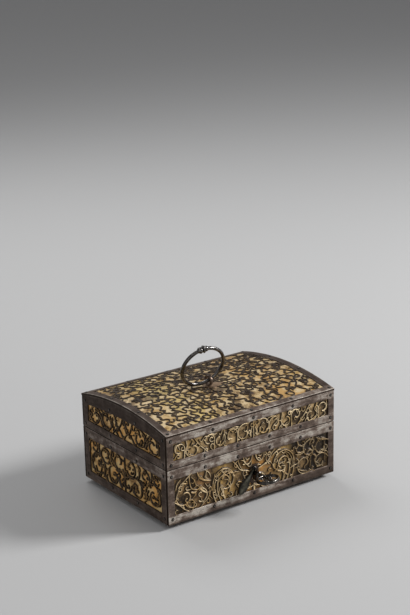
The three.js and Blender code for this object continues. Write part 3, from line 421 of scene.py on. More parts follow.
# Half designs run from the middle of the opening to the right, and up from its lower edge
innerScroll = scrolls([
    [(40.4, -1.5), (43.6, 7.6), (43.8, 16.6), (31.4, 16.8, 0.84, 6.2)],
], "coilWidths") + scrolls([
    [(35.2, -1.5), (38.6, 7.4), (38.9, 16), (32, 16.2, 0.66, 4.4)],
    [(24, 34), (18.5, 28), (14.5, 22.5), (3.5, 18.5)], [(0.6, 4.6), (8, 2.6), (15, 5.2), (19.6, 11)],
    [(1.6, 34), (3, 28.5), (6.8, 25.4), (10.2, 28.5), (11.2, 34)],
]) + scrolls([
    [(3.5, 14), (9.5, 12.4), (13, 7), (14, -1.5)], [(30.6, -1.5), (33.2, 5.4), (33, 13)],
], "leafWidths")
bodyFrontDesign = {
    "width": 166,
    "scrolls": scrolls([[(0, -1.5), (0, 9)]], "stalkWidths") + bothWays(innerScroll) + scrolls([
        [(66.5, 34), (64.5, 30.4), (62, 22.4, 0.9, 2.8)], [(84.5, 25), (80.6, 26.4), (75.4, 20.2, 0.88, 2.5)],
        [(68, -1.2), (62.4, 1.6), (56.2, 8.8, -0.92, 2.8)], [(84.5, 8), (80.4, 12), (74.6, 7, 0.84, 2.6)],
        [(45.6, 20.5), (50, 19), (55.5, 20.6)], [(48, 34), (49.6, 28.4), (55.6, 26)],
        [(-65, 34), (-71, 29.6), (-77, 25), (-79.4, 19.4), (-73, 13.8, 0.92, 3)],
        [(-84.5, 12.5), (-78.6, 8), (-73, 2.4), (-67, -1.5)],
        [(-65.6, -1.2), (-63.6, 4), (-67.4, 5.8, 0.8, 1.9)],
        [(-68, 34), (-67.6, 26), (-65.6, 19.4), (-60.4, 16.8), (-56.8, 9.4, -0.66, 3.6)],
        [(-49, 34), (-50.8, 28.6), (-51, 23)], [(-46, 13), (-49, 6), (-54, 2.4), (-58, -1.5)],
    ]) + scrolls([
        [(66, 15.5), (69.4, 12.6), (68.4, 8.4)], [(-60, 34), (-57.4, 27.4), (-52, 23.4), (-45.4, 21.5)],
    ], "leafWidths"),
    "fine": hooks(164, 31, 22, 4, 3) + scrolls([
        [(-37.6, 3.6), (-41.8, 9.6), (-41.9, 17), (-38.4, 24), (-32.6, 27.6)],
        [(41.8, 9.6), (41.9, 17), (38.4, 24), (32.6, 27.6)], [(-52, 33), (-47.4, 29), (-46, 24)],
        [(-44.6, 4), (-47.6, 9), (-47, 15.4)], [(4.6, 31), (8, 30), (9, 33)],
        [(-4.6, 31), (-8, 30), (-9, 33)], [(12, 33), (15.6, 28.4), (21, 31)], [(56, 31), (60, 33), (65, 29)],
        [(72.4, 16.4), (76.6, 17.6), (79.6, 15)], [(-76, 31), (-80, 28), (-82, 22)],
        [(-62.6, 28), (-61.4, 22), (-57, 19)], [(-36, 17), (-35, 11), (-33.6, 6.5), (-30.5, 0.6)],
        [(-33, 18.6), (-28.4, 17.4), (-25.4, 12.5), (-27, 5)], [(-17.4, 34), (-15.6, 27), (-12, 21.6)],
        [(-79.6, 23), (-75, 26.4), (-69.4, 25)], [(-71.4, 4.6), (-66.8, 2.4), (-62, 1.6)],
        [(22.4, 27.4), (26, 30.4), (31, 30)], [(33.6, 27), (36.8, 22), (38.6, 16.6), (41.6, 10)],
        [(25.2, 11), (26.4, 15.6), (30, 17), (33.4, 14.6)],
        [(46.4, 26), (47.6, 22.4), (51, 20.8), (55.4, 22)],
        [(69, 31), (73.4, 28.4), (80.6, 25.6)], [(78.6, 25), (79.4, 15), (78.4, 6)],
        [(46.6, 8), (52, 3.6), (60, 0.4)], [(61.4, 13), (62.6, 9), (62, 4)],
    ], "strandWidths") + scrolls([
        [(-34, 18), (-31.6, 24.4), (-26.6, 24.8)], [(58.6, 18.4), (62, 21), (65.4, 19)],
        [(-27.6, 27.4), (-25, 23.4), (-20.8, 21.4)], [(-66.6, 16.6), (-63.6, 14.8), (-60.6, 16)],
        [(-58.4, 18.4), (-54.6, 14.6), (-50.4, 11.4)], [(20.4, 19), (21.4, 15.6), (23.4, 12.6)],
        [(31, 8.6), (34, 6), (38, 3.4)],
    ], "leafWidths"),
}
bodyEndDesign = {
    "width": 112.6,
    "scrolls": scrolls([[(0, -1.5), (0, 33.5)]]) + bothWays(scrolls([
        [(27, -1.5), (33.4, 4.4), (44, 10.6, -1.35, 2.6)],
        [(0, 12.5), (5.5, 15.6), (11, 15.2), (18, 8.4, -1.2, 2.3)],
        [(0, 12.5), (3, 19.6), (9.4, 24.4, 1.05, 2.1)], [(20, 17.2), (25.4, 18.2), (31.2, 23.6, 1.15, 2.1)],
        [(58, 17.5), (55.8, 21.8), (49.6, 25.8, 1.05, 2)],
    ]) + scrolls([
        [(20, 17.2), (22.6, 24), (20, 33)], [(38.4, 21), (41.8, 26.6), (40.6, 33)],
    ], "leafWidths")),
    "fine": bothWays(scrolls([
        [(52.6, 4), (54.2, 10.4), (50.8, 16)], [(22.4, 2), (25.4, 7), (25, 13)],
        [(5, 26), (9, 30.4), (14.6, 30)], [(28, 31.4), (32.4, 30.6), (36, 27)],
        [(44, 31.4), (49.4, 31.4), (54.6, 28.4)],
    ], "strandWidths") + scrolls([
        [(5, 1), (8.4, 4.6), (10.4, 9.4)], [(36.6, 13.6), (33.4, 10), (33.8, 5)],
    ], "leafWidths")) + hooks(110, 31, 14, 4, 4),
}
lidFrontDesign = {
    "width": 166,
    "scrolls": scrolls([[(0, -1.2), (0, 16)]]) + bothWays(scrolls([
        [(2.4, 16), (6, 13.6), (9.8, 6.8, -0.9, 2.3)], [(17.4, -1.2), (17, 6), (22.9, 7.4, -0.82, 2.4)],
        [(31.4, 16), (30.6, 9.4), (35.7, 7, 0.84, 2.2)], [(41.6, -1.2), (41.4, 6.6), (46.6, 8.8, -0.84, 2.2)],
        [(47, -1.2), (53, 4.2), (58, 9.6), (62.6, 16)], [(70.4, 16), (68.8, 10), (63.4, 5.4, -0.9, 2.2)],
        [(72.4, -1.2), (71.6, 6.4), (76.9, 8, -0.86, 2.3)],
    ])),
    "fine": bothWays(scrolls([
        [(15, 13), (19.6, 14), (26, 13)], [(29.6, 1), (30.4, 4.6), (33.6, 3)],
        [(52.6, 12.4), (54.6, 9.6), (57, 12.4)], [(60.4, 0.4), (65, 0.6), (69, 3)],
        [(80.6, 13.6), (81.6, 10.4), (81, 6)],
    ], "strandWidths") + scrolls([
        [(1.6, 9), (3.4, 5.4), (3, 1)], [(38.6, 13.4), (42, 12.6), (44.6, 14.4)],
    ], "leafWidths")) + hooks(164, 14, 24, 2, 6),
}
lidEndDesign = {
    "width": 112.6,
    "scrolls": bothWays(scrolls([
        [(0.4, 22), (3.4, 14.4), (8.4, 8.6), (12, 14.4), (14.6, 22)],
        [(0, -1.4), (3, 4.4), (8.4, 8), (14.6, 3.6), (17.6, -1.4)],
        [(15, 22), (21.8, 18.6), (24.6, 9.6, -1.2, 2.3)], [(33.6, 10), (37.6, 14.8), (45, 8.6, -1.3, 2.2)],
    ])),
    "fine": bothWays(scrolls([
        [(22.4, 1), (25, 3.4), (30.6, 2.6)], [(30, 17), (33.6, 15.4), (35.4, 12)],
        [(52.6, 1.6), (54.8, 6), (54.4, 12)],
    ], "strandWidths") + scrolls([
        [(34, 3), (35.6, 7), (38.6, 9.6)], [(18.6, 14), (19.6, 9.6), (17.6, 6)],
    ], "leafWidths")) + hooks(110, 20, 13, 3, 8),
}

vines = {
    "rows": 12,
    "bays": 19,
    "halfWidth": 0.6,
    "foot": 0.15,
    "step": 1.2,
    "rounds": 1,
    "sheetDrop": 0.8,  # depth of the gilt sheet under the border's face
    "lift": 0.5,  # where the vines start and end, above the plate's back
    "height": 1.35,
    "jitter": 0.2,  # how far a knot strays from its place, in shares of the bay and the row
    "bow": 0.32,  # how far a link bends aside
    "linkShares": (0.35, 0.97),  # along the length, and across the depth
    "curlShare": 0.85,
    "linkReach": 0.95,
    "curlReach": (0.34, 0.24),  # first and last radius of a curl
    "curlTurns": (0.4, 0.7),
}


# A net of thin vines. Knots stand in staggered rows and stray a little. Neighbours are linked by curves that
# bend to one side and back and taper, and from most knots a curl winds in, starting in any direction.
def vineDesign(width, depth):
    chance = np.random.default_rng(11)
    bays, rows = vines["bays"], vines["rows"]
    bay, row = width / bays, depth / rows
    i, j = np.meshgrid(np.arange(bays + 1), np.arange(rows + 1), indexing="ij")
    stray = chance.uniform(-1, 1, (2, *i.shape)) * vines["jitter"]
    knots = np.stack([(i + stray[0] + 0.5 * (j % 2) - 0.25) * bay - width / 2, (j + stray[1]) * row], -1)
    found = []
    for a, b in np.ndindex(bays + 1, rows + 1):
        start = knots[a, b]
        for c, d, share in ((a + 1, b, vines["linkShares"][0]), (a, b + 1, vines["linkShares"][1])):
            if c > bays or d > rows or chance.random() > share:
                continue
            first, last = (start, knots[c, d]) if chance.random() < 0.5 else (knots[c, d], start)
            last = first + (last - first) * vines["linkReach"]
            aside = np.array([first[1] - last[1], last[0] - first[0]]) * vines["bow"] * chance.choice((-1, 1))
            line = [first, first * 0.7 + last * 0.3 + aside, first * 0.3 + last * 0.7 - aside, last]
            found += scrolls([line], "linkWidths")
        bearing = chance.uniform(0, turn)
        first, last = np.array(vines["curlReach"]) * row
        turns = chance.uniform(*vines["curlTurns"]) * chance.choice((-1, 1))
        if chance.random() > vines["curlShare"]:
            continue
        centre = start + first * np.array([math.cos(bearing), math.sin(bearing)])
        found += scrolls([[start, start + (start - centre) * 0.01, (*centre, turns, last)]], "hookWidths")
    edge = width / 2
    inside = []
    for one in found:
        u, v = one["stem"][0]
        if abs(u) < edge + 1 and -1 < v < depth + 1:
            inside.append(one)
    corners = scrolls([[(-edge - 1, v), (-edge + 1, v)] for v in (-1.5, depth + 1.5)], "stemWidths")
    return {"width": width, "scrolls": inside + corners, "fine": []}


# Nails: domed heads, a little squared by the hammer. Each dome has rings whose radius falls as they rise.
# The two lowest rings make a low collar round the head, kept dark: painted shade where the head sits.
domeRings = np.array([
    [1.25, -0.2], [1.25, 0.06], [1, 0.12], [0.97, 0.35], [0.82, 0.68], [0.5, 0.9], [0.2, 1],
])
# domeShine lightens the top rings of each head: a painted highlight.
domeShine = np.array([0, 0, 0, 0, 0, 0.7, 1])[:, None]


def nailRow(reach, v, count):
    return [(u, v) for u in np.linspace(-reach, reach, count)]


def nailShapes(places, place, surfaceHeight):
    angle = circle(plate["nailSides"])
    chance = np.random.default_rng(5)
    shapes = []
    for u, v in places:
        squared = 1 + plate["nailSquaring"] * np.cos(4 * angle + chance.uniform(0, turn))
        radius = plate["nailRadius"] * domeRings[:, :1] * squared
        height = surfaceHeight + plate["nailHeight"] * np.repeat(domeRings[:, 1:], len(angle), 1)
        points = place(u + radius * np.cos(angle), v + radius * np.sin(angle), height)
        shapes.append(gridShape(points, edge=domeShine))
    return shapes


# Shader node groups and materials
def addNode(tree, kind, inputs=None, **settings):
    node = tree.nodes.new(kind)
    for key, value in settings.items():
        setattr(node, key, value)
    for key, value in (inputs or {}).items():
        if isinstance(value, bpy.types.NodeSocket):
            tree.links.new(value, node.inputs[key])
        else:
            node.inputs[key].default_value = value
    return node


def newGroup(name, inputs, outputs):
    tree = bpy.data.node_groups.new(name, "ShaderNodeTree")
    for label, value in inputs.items():
        socket = tree.interface.new_socket(name=label, in_out="INPUT", socket_type="NodeSocketFloat")
        socket.default_value = value
    for label in outputs:
        tree.interface.new_socket(name=label, in_out="OUTPUT", socket_type="NodeSocketFloat")
    return tree, tree.nodes.new("NodeGroupInput").outputs, tree.nodes.new("NodeGroupOutput").inputs


def placeIn(tree):
    return addNode(tree, "ShaderNodeTexCoord").outputs["Object"]


def stretched(tree, place, scale):
    return addNode(tree, "ShaderNodeMapping", {"Vector": place, "Scale": scale}).outputs[0]


def noise(tree, coordinates, scale, detail, roughness):
    return addNode(tree, "ShaderNodeTexNoise", {
        "Vector": coordinates, "Scale": scale, "Detail": detail, "Roughness": roughness,
    }).outputs["Fac"]


# A share from first to last as the value goes from low to high.
def ramp(tree, value, low, high, first=0.0, last=1.0):
    return addNode(tree, "ShaderNodeMapRange", {
        "Value": value, "From Min": low, "From Max": high, "To Min": first, "To Max": last,
    }).outputs["Result"]


def mixed(tree, share, first, second):
    inputs = {0: share}
    for slot, colour in ((6, first), (7, second)):
        inputs[slot] = colour if isinstance(colour, bpy.types.NodeSocket) else (*colour, 1)
    return addNode(tree, "ShaderNodeMix", inputs, data_type="RGBA").outputs[2]


def calc(tree, operation, first, second=0.5, third=0.0, clamp=False):
    inputs = {0: first, 1: second, 2: third}
    return addNode(tree, "ShaderNodeMath", inputs, operation=operation, use_clamp=clamp).outputs[0]


# Old metal: broad patches, fine grain along the length, pits, and a height made of all three.
def makeWeathering():
    scales = {"Patch Scale": 60.0, "Grain Scale": 900.0, "Pit Scale": 1500.0}
    tree, given, result = newGroup("weathering", scales, ("Patches", "Grain", "Pits", "Height"))
    place = placeIn(tree)
    broad = ramp(tree, noise(tree, place, given["Patch Scale"], 6.0, 0.65), 0.4, 0.6)
    grain = noise(tree, stretched(tree, place, (0.18, 0.18, 1.0)), given["Grain Scale"], 3.0, 0.7)
    pits = ramp(tree, noise(tree, place, given["Pit Scale"], 2.0, 0.5), 0.3, 0.42)
    height = calc(tree, "MULTIPLY_ADD", grain, 0.4, calc(tree, "MULTIPLY", broad, 0.35))
    height = calc(tree, "MULTIPLY_ADD", pits, 0.5, height)
    for label, value in (("Patches", broad), ("Grain", grain), ("Pits", pits), ("Height", height)):
        tree.links.new(value, result[label])
    return tree


weathering = makeWeathering()


def newMaterial(name, **fixed):
    material = bpy.data.materials.new(name)
    material.use_nodes = True
    tree = material.node_tree
    shader = tree.nodes["Principled BSDF"]
    for label, value in fixed.items():
        shader.inputs[label.replace("_", " ")].default_value = value
    return material, tree, shader


def weathered(tree, patches, grain, pits):
    scales = {"Patch Scale": patches, "Grain Scale": grain, "Pit Scale": pits}
    return addNode(tree, "ShaderNodeGroup", scales, node_tree=weathering).outputs


def markOf(tree, name):
    return addNode(tree, "ShaderNodeAttribute", attribute_name=name).outputs["Fac"]


# The last links of a material: its colour, its roughness if a value drives it, and its bump.
def linkLook(tree, shader, colour, height, strength, distance, roughness=None):
    tree.links.new(colour, shader.inputs["Base Color"])
    if roughness is not None:
        tree.links.new(roughness, shader.inputs["Roughness"])
    bump = addNode(tree, "ShaderNodeBump", {"Height": height, "Strength": strength, "Distance": distance})
    tree.links.new(bump.outputs["Normal"], shader.inputs["Normal"])


# Filed iron: dark in its patches, grey where the rub mark is high, and bright on its worn edges.
def makeIron(name, dark, brown, silver, bright):
    material, tree, shader = newMaterial(name, Metallic=0.4, Specular_IOR_Level=0.2)
    old = weathered(tree, 95.0, 420.0, 1300.0)
    streak = ramp(tree, old["Grain"], 0.38, 0.64)
    share = calc(tree, "MULTIPLY", markOf(tree, "rub"), calc(tree, "MULTIPLY_ADD", old["Patches"], 0.7, 0.35))
    share = calc(tree, "MULTIPLY", share, calc(tree, "MULTIPLY_ADD", streak, 0.7, 0.55), clamp=True)
    body = mixed(tree, ramp(tree, share, 0.0, 0.45), dark, brown)
    body = mixed(tree, ramp(tree, share, 0.4, 1.0), body, silver)
    edge = calc(tree, "MULTIPLY_ADD", old["Patches"], 0.6, 0.3)
    edge = calc(tree, "MULTIPLY", edge, markOf(tree, "edge"), clamp=True)
    hollow = calc(tree, "MULTIPLY", calc(tree, "SUBTRACT", 1.0, old["Pits"]), 0.65)
    colour = mixed(tree, hollow, mixed(tree, edge, body, bright), (0.02, 0.014, 0.01))
    linkLook(tree, shader, colour, old["Height"], 0.4, 0.0004, ramp(tree, share, 0.0, 1.0, 0.65, 0.32))
    return material


# Chased relief: flanks and foot in dark iron with painted shade, and crests lit by a painted highlight that
# varies in patches. dim makes the crests duller from one place along the length to another.
def makeScrollIron(name, flankAndShade, crestHighlight, worn, patchScale=160.0, metallic=0.35, gloss=0.35, dim=None):
    material, tree, shader = newMaterial(name, Metallic=metallic, Roughness=0.42, Specular_IOR_Level=gloss)
    old = weathered(tree, patchScale, 900.0, 1600.0)
    place = placeIn(tree)
    # The crest colour, mixed in patches from two tones, is a painted highlight.
    gilt = mixed(tree, ramp(tree, noise(tree, place, patchScale * 0.45, 3.0, 0.6), 0.42, 0.6), crestHighlight, worn)
    share = calc(tree, "MULTIPLY_ADD", old["Patches"], 0.65, 0.45)
    share = calc(tree, "MULTIPLY", share, markOf(tree, "edge"), clamp=True)
    if dim:
        start, end, amount = dim
        along = addNode(tree, "ShaderNodeSeparateXYZ", {"Vector": place}).outputs["X"]
        share = calc(tree, "MULTIPLY", share, ramp(tree, along, start, end, 1.0, 1.0 - amount))
    linkLook(tree, shader, mixed(tree, share, flankAndShade, gilt), old["Height"], 0.3, 0.0003)
    return material


# Gilt sheet: gold, a second tint in patches, and the dark ground where the gilding has gone. Warm colours may
# show near some places along the length, and the sheet grows darker past others. With a rim the sheet is
# painted dark past its opening, where only its edge shows in the grooves between the plates: painted shade in
# the grooves.
def makeGilt(
    name, ground, gold, tint, warmth=(), darkerPast=(), rim=None,
    patchScale=130.0, gone=(0.42, 0.6), crinkle=0.0005,
):
    material, tree, shader = newMaterial(name, Metallic=0.35, Specular_IOR_Level=0.35)
    old = weathered(tree, patchScale, 500.0, 900.0)
    place = placeIn(tree)
    axes = addNode(tree, "ShaderNodeSeparateXYZ", {"Vector": place}).outputs
    left = noise(tree, place, patchScale * 0.5, 5.0, 0.7)
    for start, end, amount in darkerPast:
        left = calc(tree, "MULTIPLY_ADD", ramp(tree, axes["X"], start, end), amount, left)
    colour = mixed(tree, ramp(tree, left, *gone), mixed(tree, old["Patches"], gold, tint), ground)
    for at, reach, warm in warmth:
        away = calc(tree, "ABSOLUTE", calc(tree, "SUBTRACT", axes["X"], at))
        near = calc(tree, "MULTIPLY", ramp(tree, away, reach, reach * 0.3), old["Patches"])
        colour = mixed(tree, near, colour, warm)
    if rim:
        axis, middle, reach, width = rim
        away = calc(tree, "ABSOLUTE", calc(tree, "SUBTRACT", axes[axis], middle * metre))
        past = ramp(tree, away, (reach - width) * metre, reach * metre)
        # Painted shade: the sheet's edge, seen in the grooves between the plates, is darkened.
        colour = mixed(tree, past, colour, (0.012, 0.009, 0.006))
    linkLook(tree, shader, colour, old["Height"], 0.6, crinkle, ramp(tree, old["Grain"], 0.0, 1.0, 0.3, 0.55))
    return material


# Smooth iron with faint clouds and a fine grain.
def makePlainIron(name, dark, light, roughness, metallic):
    material, tree, shader = newMaterial(name, Metallic=metallic)
    old = weathered(tree, 120.0, 700.0, 1800.0)
    rough = ramp(tree, old["Grain"], 0.0, 1.0, roughness * 0.8, roughness * 1.3)
    linkLook(tree, shader, mixed(tree, old["Patches"], dark, light), old["Height"], 0.2, 0.0002, rough)
    return material


# Oak: growth lines drawn out along the board, with short pores.
def makeWood(name, light, dark, scale):
    material, tree, shader = newMaterial(name, Roughness=0.62)
    drawn = stretched(tree, placeIn(tree), scale)
    rings = noise(tree, drawn, 260.0, 5.0, 0.6)
    pores = ramp(tree, noise(tree, drawn, 1400.0, 2.0, 0.5), 0.34, 0.46)
    colour = mixed(tree, ramp(tree, rings, 0.36, 0.64), dark, light)
    colour = mixed(tree, pores, [part * 0.4 for part in dark], colour)
    linkLook(tree, shader, colour, calc(tree, "MULTIPLY", rings, pores), 0.4, 0.0004)
    return material


iron = makeIron("worn_iron", (0.03, 0.018, 0.012), (0.17, 0.125, 0.1), (0.5, 0.45, 0.39), (0.66, 0.6, 0.52))
topScrollIron = makeScrollIron(
    "dark_vines", (0.02, 0.012, 0.006), (0.06, 0.038, 0.019), (0.03, 0.018, 0.01), 120.0, 0.05, 0.15,
)
endScrollIron = makeScrollIron(
    "brown_scrolls", (0.016, 0.009, 0.004), (0.12, 0.075, 0.034), (0.44, 0.25, 0.08),
)
# The fronts' cream crests are a painted highlight; on the top and the ends the crests stay dark.
bodyScrollIron = makeScrollIron(
    "dull_scrolls_painted_highlight", (0.036, 0.022, 0.011), (0.84, 0.64, 0.37), (0.52, 0.33, 0.13),
    dim=(0.035, 0.06, 0.5),
)
scrollIron = makeScrollIron("scrolls_painted_highlight", (0.03, 0.019, 0.01), (0.88, 0.68, 0.4), (0.56, 0.37, 0.15))
nailIron = makeScrollIron(
    "nail_iron", (0.01, 0.008, 0.007), (0.17, 0.15, 0.13), (0.07, 0.055, 0.045), 260.0, 0.6,
)
coverIron = makeScrollIron(
    "cover_iron", (0.012, 0.011, 0.009), (0.17, 0.16, 0.12), (0.06, 0.055, 0.038), 300.0, 0.7,
)
polishedIron, blackIron, keyIron, stapleIron, lockIron, patchMetal = (makePlainIron(*values) for values in (
    ("polished_iron", (0.055, 0.05, 0.048), (0.19, 0.18, 0.172), 0.17, 1.0),
    ("black_iron", (0.014, 0.012, 0.011), (0.05, 0.044, 0.04), 0.28, 0.9),
    ("key_iron", (0.022, 0.02, 0.019), (0.12, 0.11, 0.1), 0.2, 1.0),
    ("staple_iron", (0.06, 0.038, 0.026), (0.19, 0.14, 0.105), 0.35, 0.7),
    ("lock_iron", (0.12, 0.1, 0.085), (0.25, 0.22, 0.19), 0.45, 0.8),
    ("brown_patch", (0.12, 0.07, 0.035), (0.24, 0.155, 0.09), 0.5, 0.4),
))
frontRim = ("X", 0.0, halfLength, 7.0)  # axis, middle, reach and width
endRim = ("Y", middleY, halfDepth, 7.0)
giltTop = makeGilt(
    "gilt_top", (0.05, 0.03, 0.026), (0.63, 0.49, 0.29), (0.43, 0.255, 0.07),
    ((-0.045, 0.022, (0.62, 0.46, 0.18)), (0.05, 0.025, (0.52, 0.31, 0.11))),
    patchScale=105.0, gone=(0.49, 0.62), crinkle=0.0012,
)
# The body's front gilt is a darker copy of the gilt: painted shade.
giltFrontPaintedShade = makeGilt(
    "gilt_front_painted_shade", (0.022, 0.014, 0.007), (0.28, 0.175, 0.075), (0.18, 0.105, 0.04),
    (
        (0.006, 0.02, (0.52, 0.25, 0.06)), (-0.031, 0.013, (0.58, 0.36, 0.11)),
        (-0.053, 0.009, (0.38, 0.2, 0.075)), (0.031, 0.012, (0.44, 0.28, 0.095)),
    ),
    darkerPast=((0.035, 0.065, 0.12), (-0.055, -0.08, 0.1)), rim=frontRim,
)
giltLidFront = makeGilt(
    "gilt_lid_front", (0.06, 0.038, 0.019), (0.52, 0.36, 0.175), (0.33, 0.2, 0.075),
    ((-0.083, 0.03, (0.54, 0.34, 0.11)),), rim=frontRim,
)
# The left end's gilt is a lighter copy of the gilt, to lift the end out of its shade: painted light.
giltLeftEndPaintedLight = makeGilt(
    "gilt_left_end_painted_light", (0.12, 0.07, 0.03), (0.84, 0.6, 0.28), (0.84, 0.42, 0.1), gone=(0.52, 0.68), rim=endRim,
)
# The right end's gilt is a darker copy of the end gilt, where the key lamp falls on it: painted shade.
giltRightEndPaintedShade = makeGilt(
    "gilt_right_end_painted_shade", (0.05, 0.03, 0.014), (0.44, 0.32, 0.15), (0.46, 0.22, 0.05),
    gone=(0.47, 0.62), rim=endRim,
)
oak = ((0.19, 0.105, 0.052), (0.085, 0.043, 0.02))
woodAlong = makeWood("oak_along", *oak, (0.06, 1, 1))
woodAcross = makeWood("oak_across", *oak, (1, 0.06, 1))
print("materials made")

# How rubbed the iron is on each plate: at its top border, its bottom border and its sides. The ends' low
# values are partly wear, partly painted shade.
rubAndShade = {
    "body_front": (0.93, 1.5, 0.52), "body_back": (0.7, 0.6, 0.4),
    "body_left": (0.56, 0.34, 0.3), "body_right": (0.56, 0.34, 0.3),
    "lid_front": (0.85, 0.72, 0.37), "lid_back": (0.6, 0.5, 0.4),
    "lid_left": (0.13, 0.36, 0.16), "lid_right": (0.13, 0.36, 0.16),
    "lid_top": (0.25, 0.6, 0.14),
}
# The body's front is less rubbed towards the right, and dull at its lower edge
frontWear = {
    "fading": 0.85, "start": -60, "span": 130, "sideShare": 0.35,
    "footStart": 0.5, "footWidth": 4, "least": 0.25,
}


def rubFunction(name, low, high):
    top, bottom, sides = rubAndShade[name]

    def rubOf(u, v):
        upper = np.clip((v - high) / plate["rubBlend"] + 0.5, 0, 1)
        lower = np.clip((low - v) / plate["rubBlend"] + 0.5, 0, 1)
        worn = sides + (top - sides) * upper + (bottom - sides) * lower
        if name != "body_front":
            return worn
        aboveFoot = v - low + plate["bodyBottomBorder"] - frontWear["footStart"]
        foot = np.clip(aboveFoot / frontWear["footWidth"], frontWear["least"], 1)
        fading = frontWear["fading"] * np.clip((u - frontWear["start"]) / frontWear["span"], 0, 1)
        return worn * foot * (1 - fading * np.maximum(lower, frontWear["sideShare"] * (1 - upper)))

    return rubOf


hinge = {
    "spacing": 100.0, "width": 22.0, "leafThickness": 1.2, "bodyLeafLength": 15.0, "lidLeafLength": 18.0,
    "knuckleRadius": 2.3, "gap": 0.3, "lidKnuckle": 8.0,
    "neckLap": 1.0, "neckSetback": 1.2, "neckGap": 0.7,
    "pinRadius": 1.0, "pinHeadRadius": 1.7, "pinHeadLength": 1.0, "pinHeadLap": 0.1,
    "heelReach": 5.8, "heelThickness": 1.4, "heelAngle": 15.0,
    "nailShare": 0.68, "nailFromEnd": 3.0, "nailRise": 6.0,
    "bevel": 0.25, "leafMarks": {"rub": 0.35, "edge": 0.25}, "barrelMarks": {"rub": 0.5, "edge": 0.3},
}
hingeY = middleY + halfDepth + hinge["knuckleRadius"] + hinge["gap"]
hingeZ = (bodyTop + lidBottom) / 2


def clearOfHinges(places):
    margin = plate["nailRadius"] + hinge["gap"]
    clear = hinge["knuckleRadius"] + hinge["gap"] + margin
    low = hingeZ - hinge["bodyLeafLength"] - clear
    high = hingeZ + hinge["lidLeafLength"] + clear
    beside = hinge["width"] / 2 + margin
    return [
        (u, v) for u, v in places
        if abs(abs(u) - hinge["spacing"] / 2) > beside or v < low or v > high
    ]


lock = {
    "keyholeRadius": 2.6, "slotHalfWidth": 1.6, "slotDepth": 7.6, "axisHeight": 23.8,
    "escutcheonMargin": 2.2, "escutcheonRub": 0.05, "loopPoints": 48,
    "coverPivotX": -0.8, "coverPivotAboveKey": 4.6,
}
keyZ = bodyBottom + lock["axisHeight"]
coverPivotZ = keyZ + lock["coverPivotAboveKey"]


# The solid field round the keyhole: a tall shield, matched point by point to the keyhole. The keyhole is a
# circle with a slot below it, as a loop of even points that starts at the right.
def escutcheonShape(place):
    radius = lock["keyholeRadius"]
    slot = lock["slotHalfWidth"]
    start = -math.acos(slot / radius)
    angle = np.linspace(start, math.pi - start, 40)
    keyhole = np.vstack([
        np.column_stack([radius * np.cos(angle), radius * np.sin(angle)]),
        [(-slot, -lock["slotDepth"]), (slot, -lock["slotDepth"])],
        [(radius * math.cos(start), radius * math.sin(start))],
    ])
    half = radius + lock["escutcheonMargin"]
    bottom = -lock["slotDepth"] - lock["escutcheonMargin"]
    top = lock["coverPivotAboveKey"] + 2.8
    shield = np.array([
        (half, 0), (half, top - 4), (half * 0.6, top), (-half * 0.7, top), (-half, top - 4), (-half, 0),
        (-half, bottom + 3), (-half * 0.6, bottom), (half * 0.6, bottom), (half, bottom + 3), (half, 0),
    ])
    outer, inner = (evenLoop(line, lock["loopPoints"]) + (0, keyZ) for line in (shield, keyhole))
    return stripBetween(outer, inner, place, rubOf=lambda u, v: lock["escutcheonRub"], wear=0.0)


# One pierced plate on a wall of the body or of the lid: its border, its ribs and its nails.
def makePlate(part, side):
    name = f"{part}_{side}"
    node = f"{name}_plate"
    long = side in longSides
    arched = part == "lid" and not long
    place = onWall(side)
    groundLow, groundHigh = boxOf(f"{name}_ground")
    axis = 0 if long else 1
    edge = (groundHigh[axis] - groundLow[axis]) / 2 + plate["cornerLap"]
    corner = halfLength - plate["cornerGap"] if long else edge - plate["cornerGroove"]
    border = plate["frontSideBorder" if long else "endSideBorder"]
    reach = edge - border
    if part == "body":
        bottom, top = bodyBottom, bodyTop
        low = bottom + plate["bodyBottomBorder"]
        high = top - plate["bodyTopBorder"]
    else:
        bottom, top = lidBottom, plateTop
        low = bottom + plate["lidBottomBorder"]
        high = top - plate["lidTopBorder" if long else "lidEndTopBorder"]
    rise = plate["endArchRise"] if arched else 0.0

    def outerTop(u):
        return vaultZ(u, plate["thickness"] + vault["seat"]) if arched else np.full_like(u, top)

    steps = plate["longSteps" if long else "endSteps"]
    outer = borderLoop(corner, bottom, outerTop, steps)
    inner = borderLoop(reach, low, lambda u: high + rise * (1 - (u / reach) ** 2), steps)
    shapes = [stripBetween(outer, inner, place, rubOf=rubFunction(name, low, high))]
    if name == "body_front":
        shapes.append(escutcheonShape(place))
    makePiece(f"{name}_border", shapes, iron, part, [node])

    design, finish = {
        ("body", True): (bodyFrontDesign, bodyScrollIron), ("body", False): (bodyEndDesign, endScrollIron),
        ("lid", True): (lidFrontDesign, scrollIron), ("lid", False): (lidEndDesign, endScrollIron),
    }[part, long]
    size = scrollwork if long else {**scrollwork, "halfWidth": scrollwork["endHalfWidth"]}
    ribs = scrollShapes(design, (reach, low, high + rise), place, size)
    makePiece(f"{name}_scrolls", ribs, finish, part, [node])

    nailReach = edge - border / 2
    lower, upper = plate[f"{part}Nails" if long else "endNails"]
    places = nailRow(nailReach, low - plate["nailFromOpening"], lower)
    for u, v in nailRow(nailReach, high + plate["nailFromOpening"], upper):
        places.append((u, v + rise * (1 - (u / nailReach) ** 2)))
    if side == "back":
        places = clearOfHinges(places)
    makePiece(f"{name}_nails", nailShapes(places, place, plate["thickness"]), nailIron, part)


for part in ("body", "lid"):
    for side in ("front", "back", "left", "right"):
        makePlate(part, side)
print("side plates made")


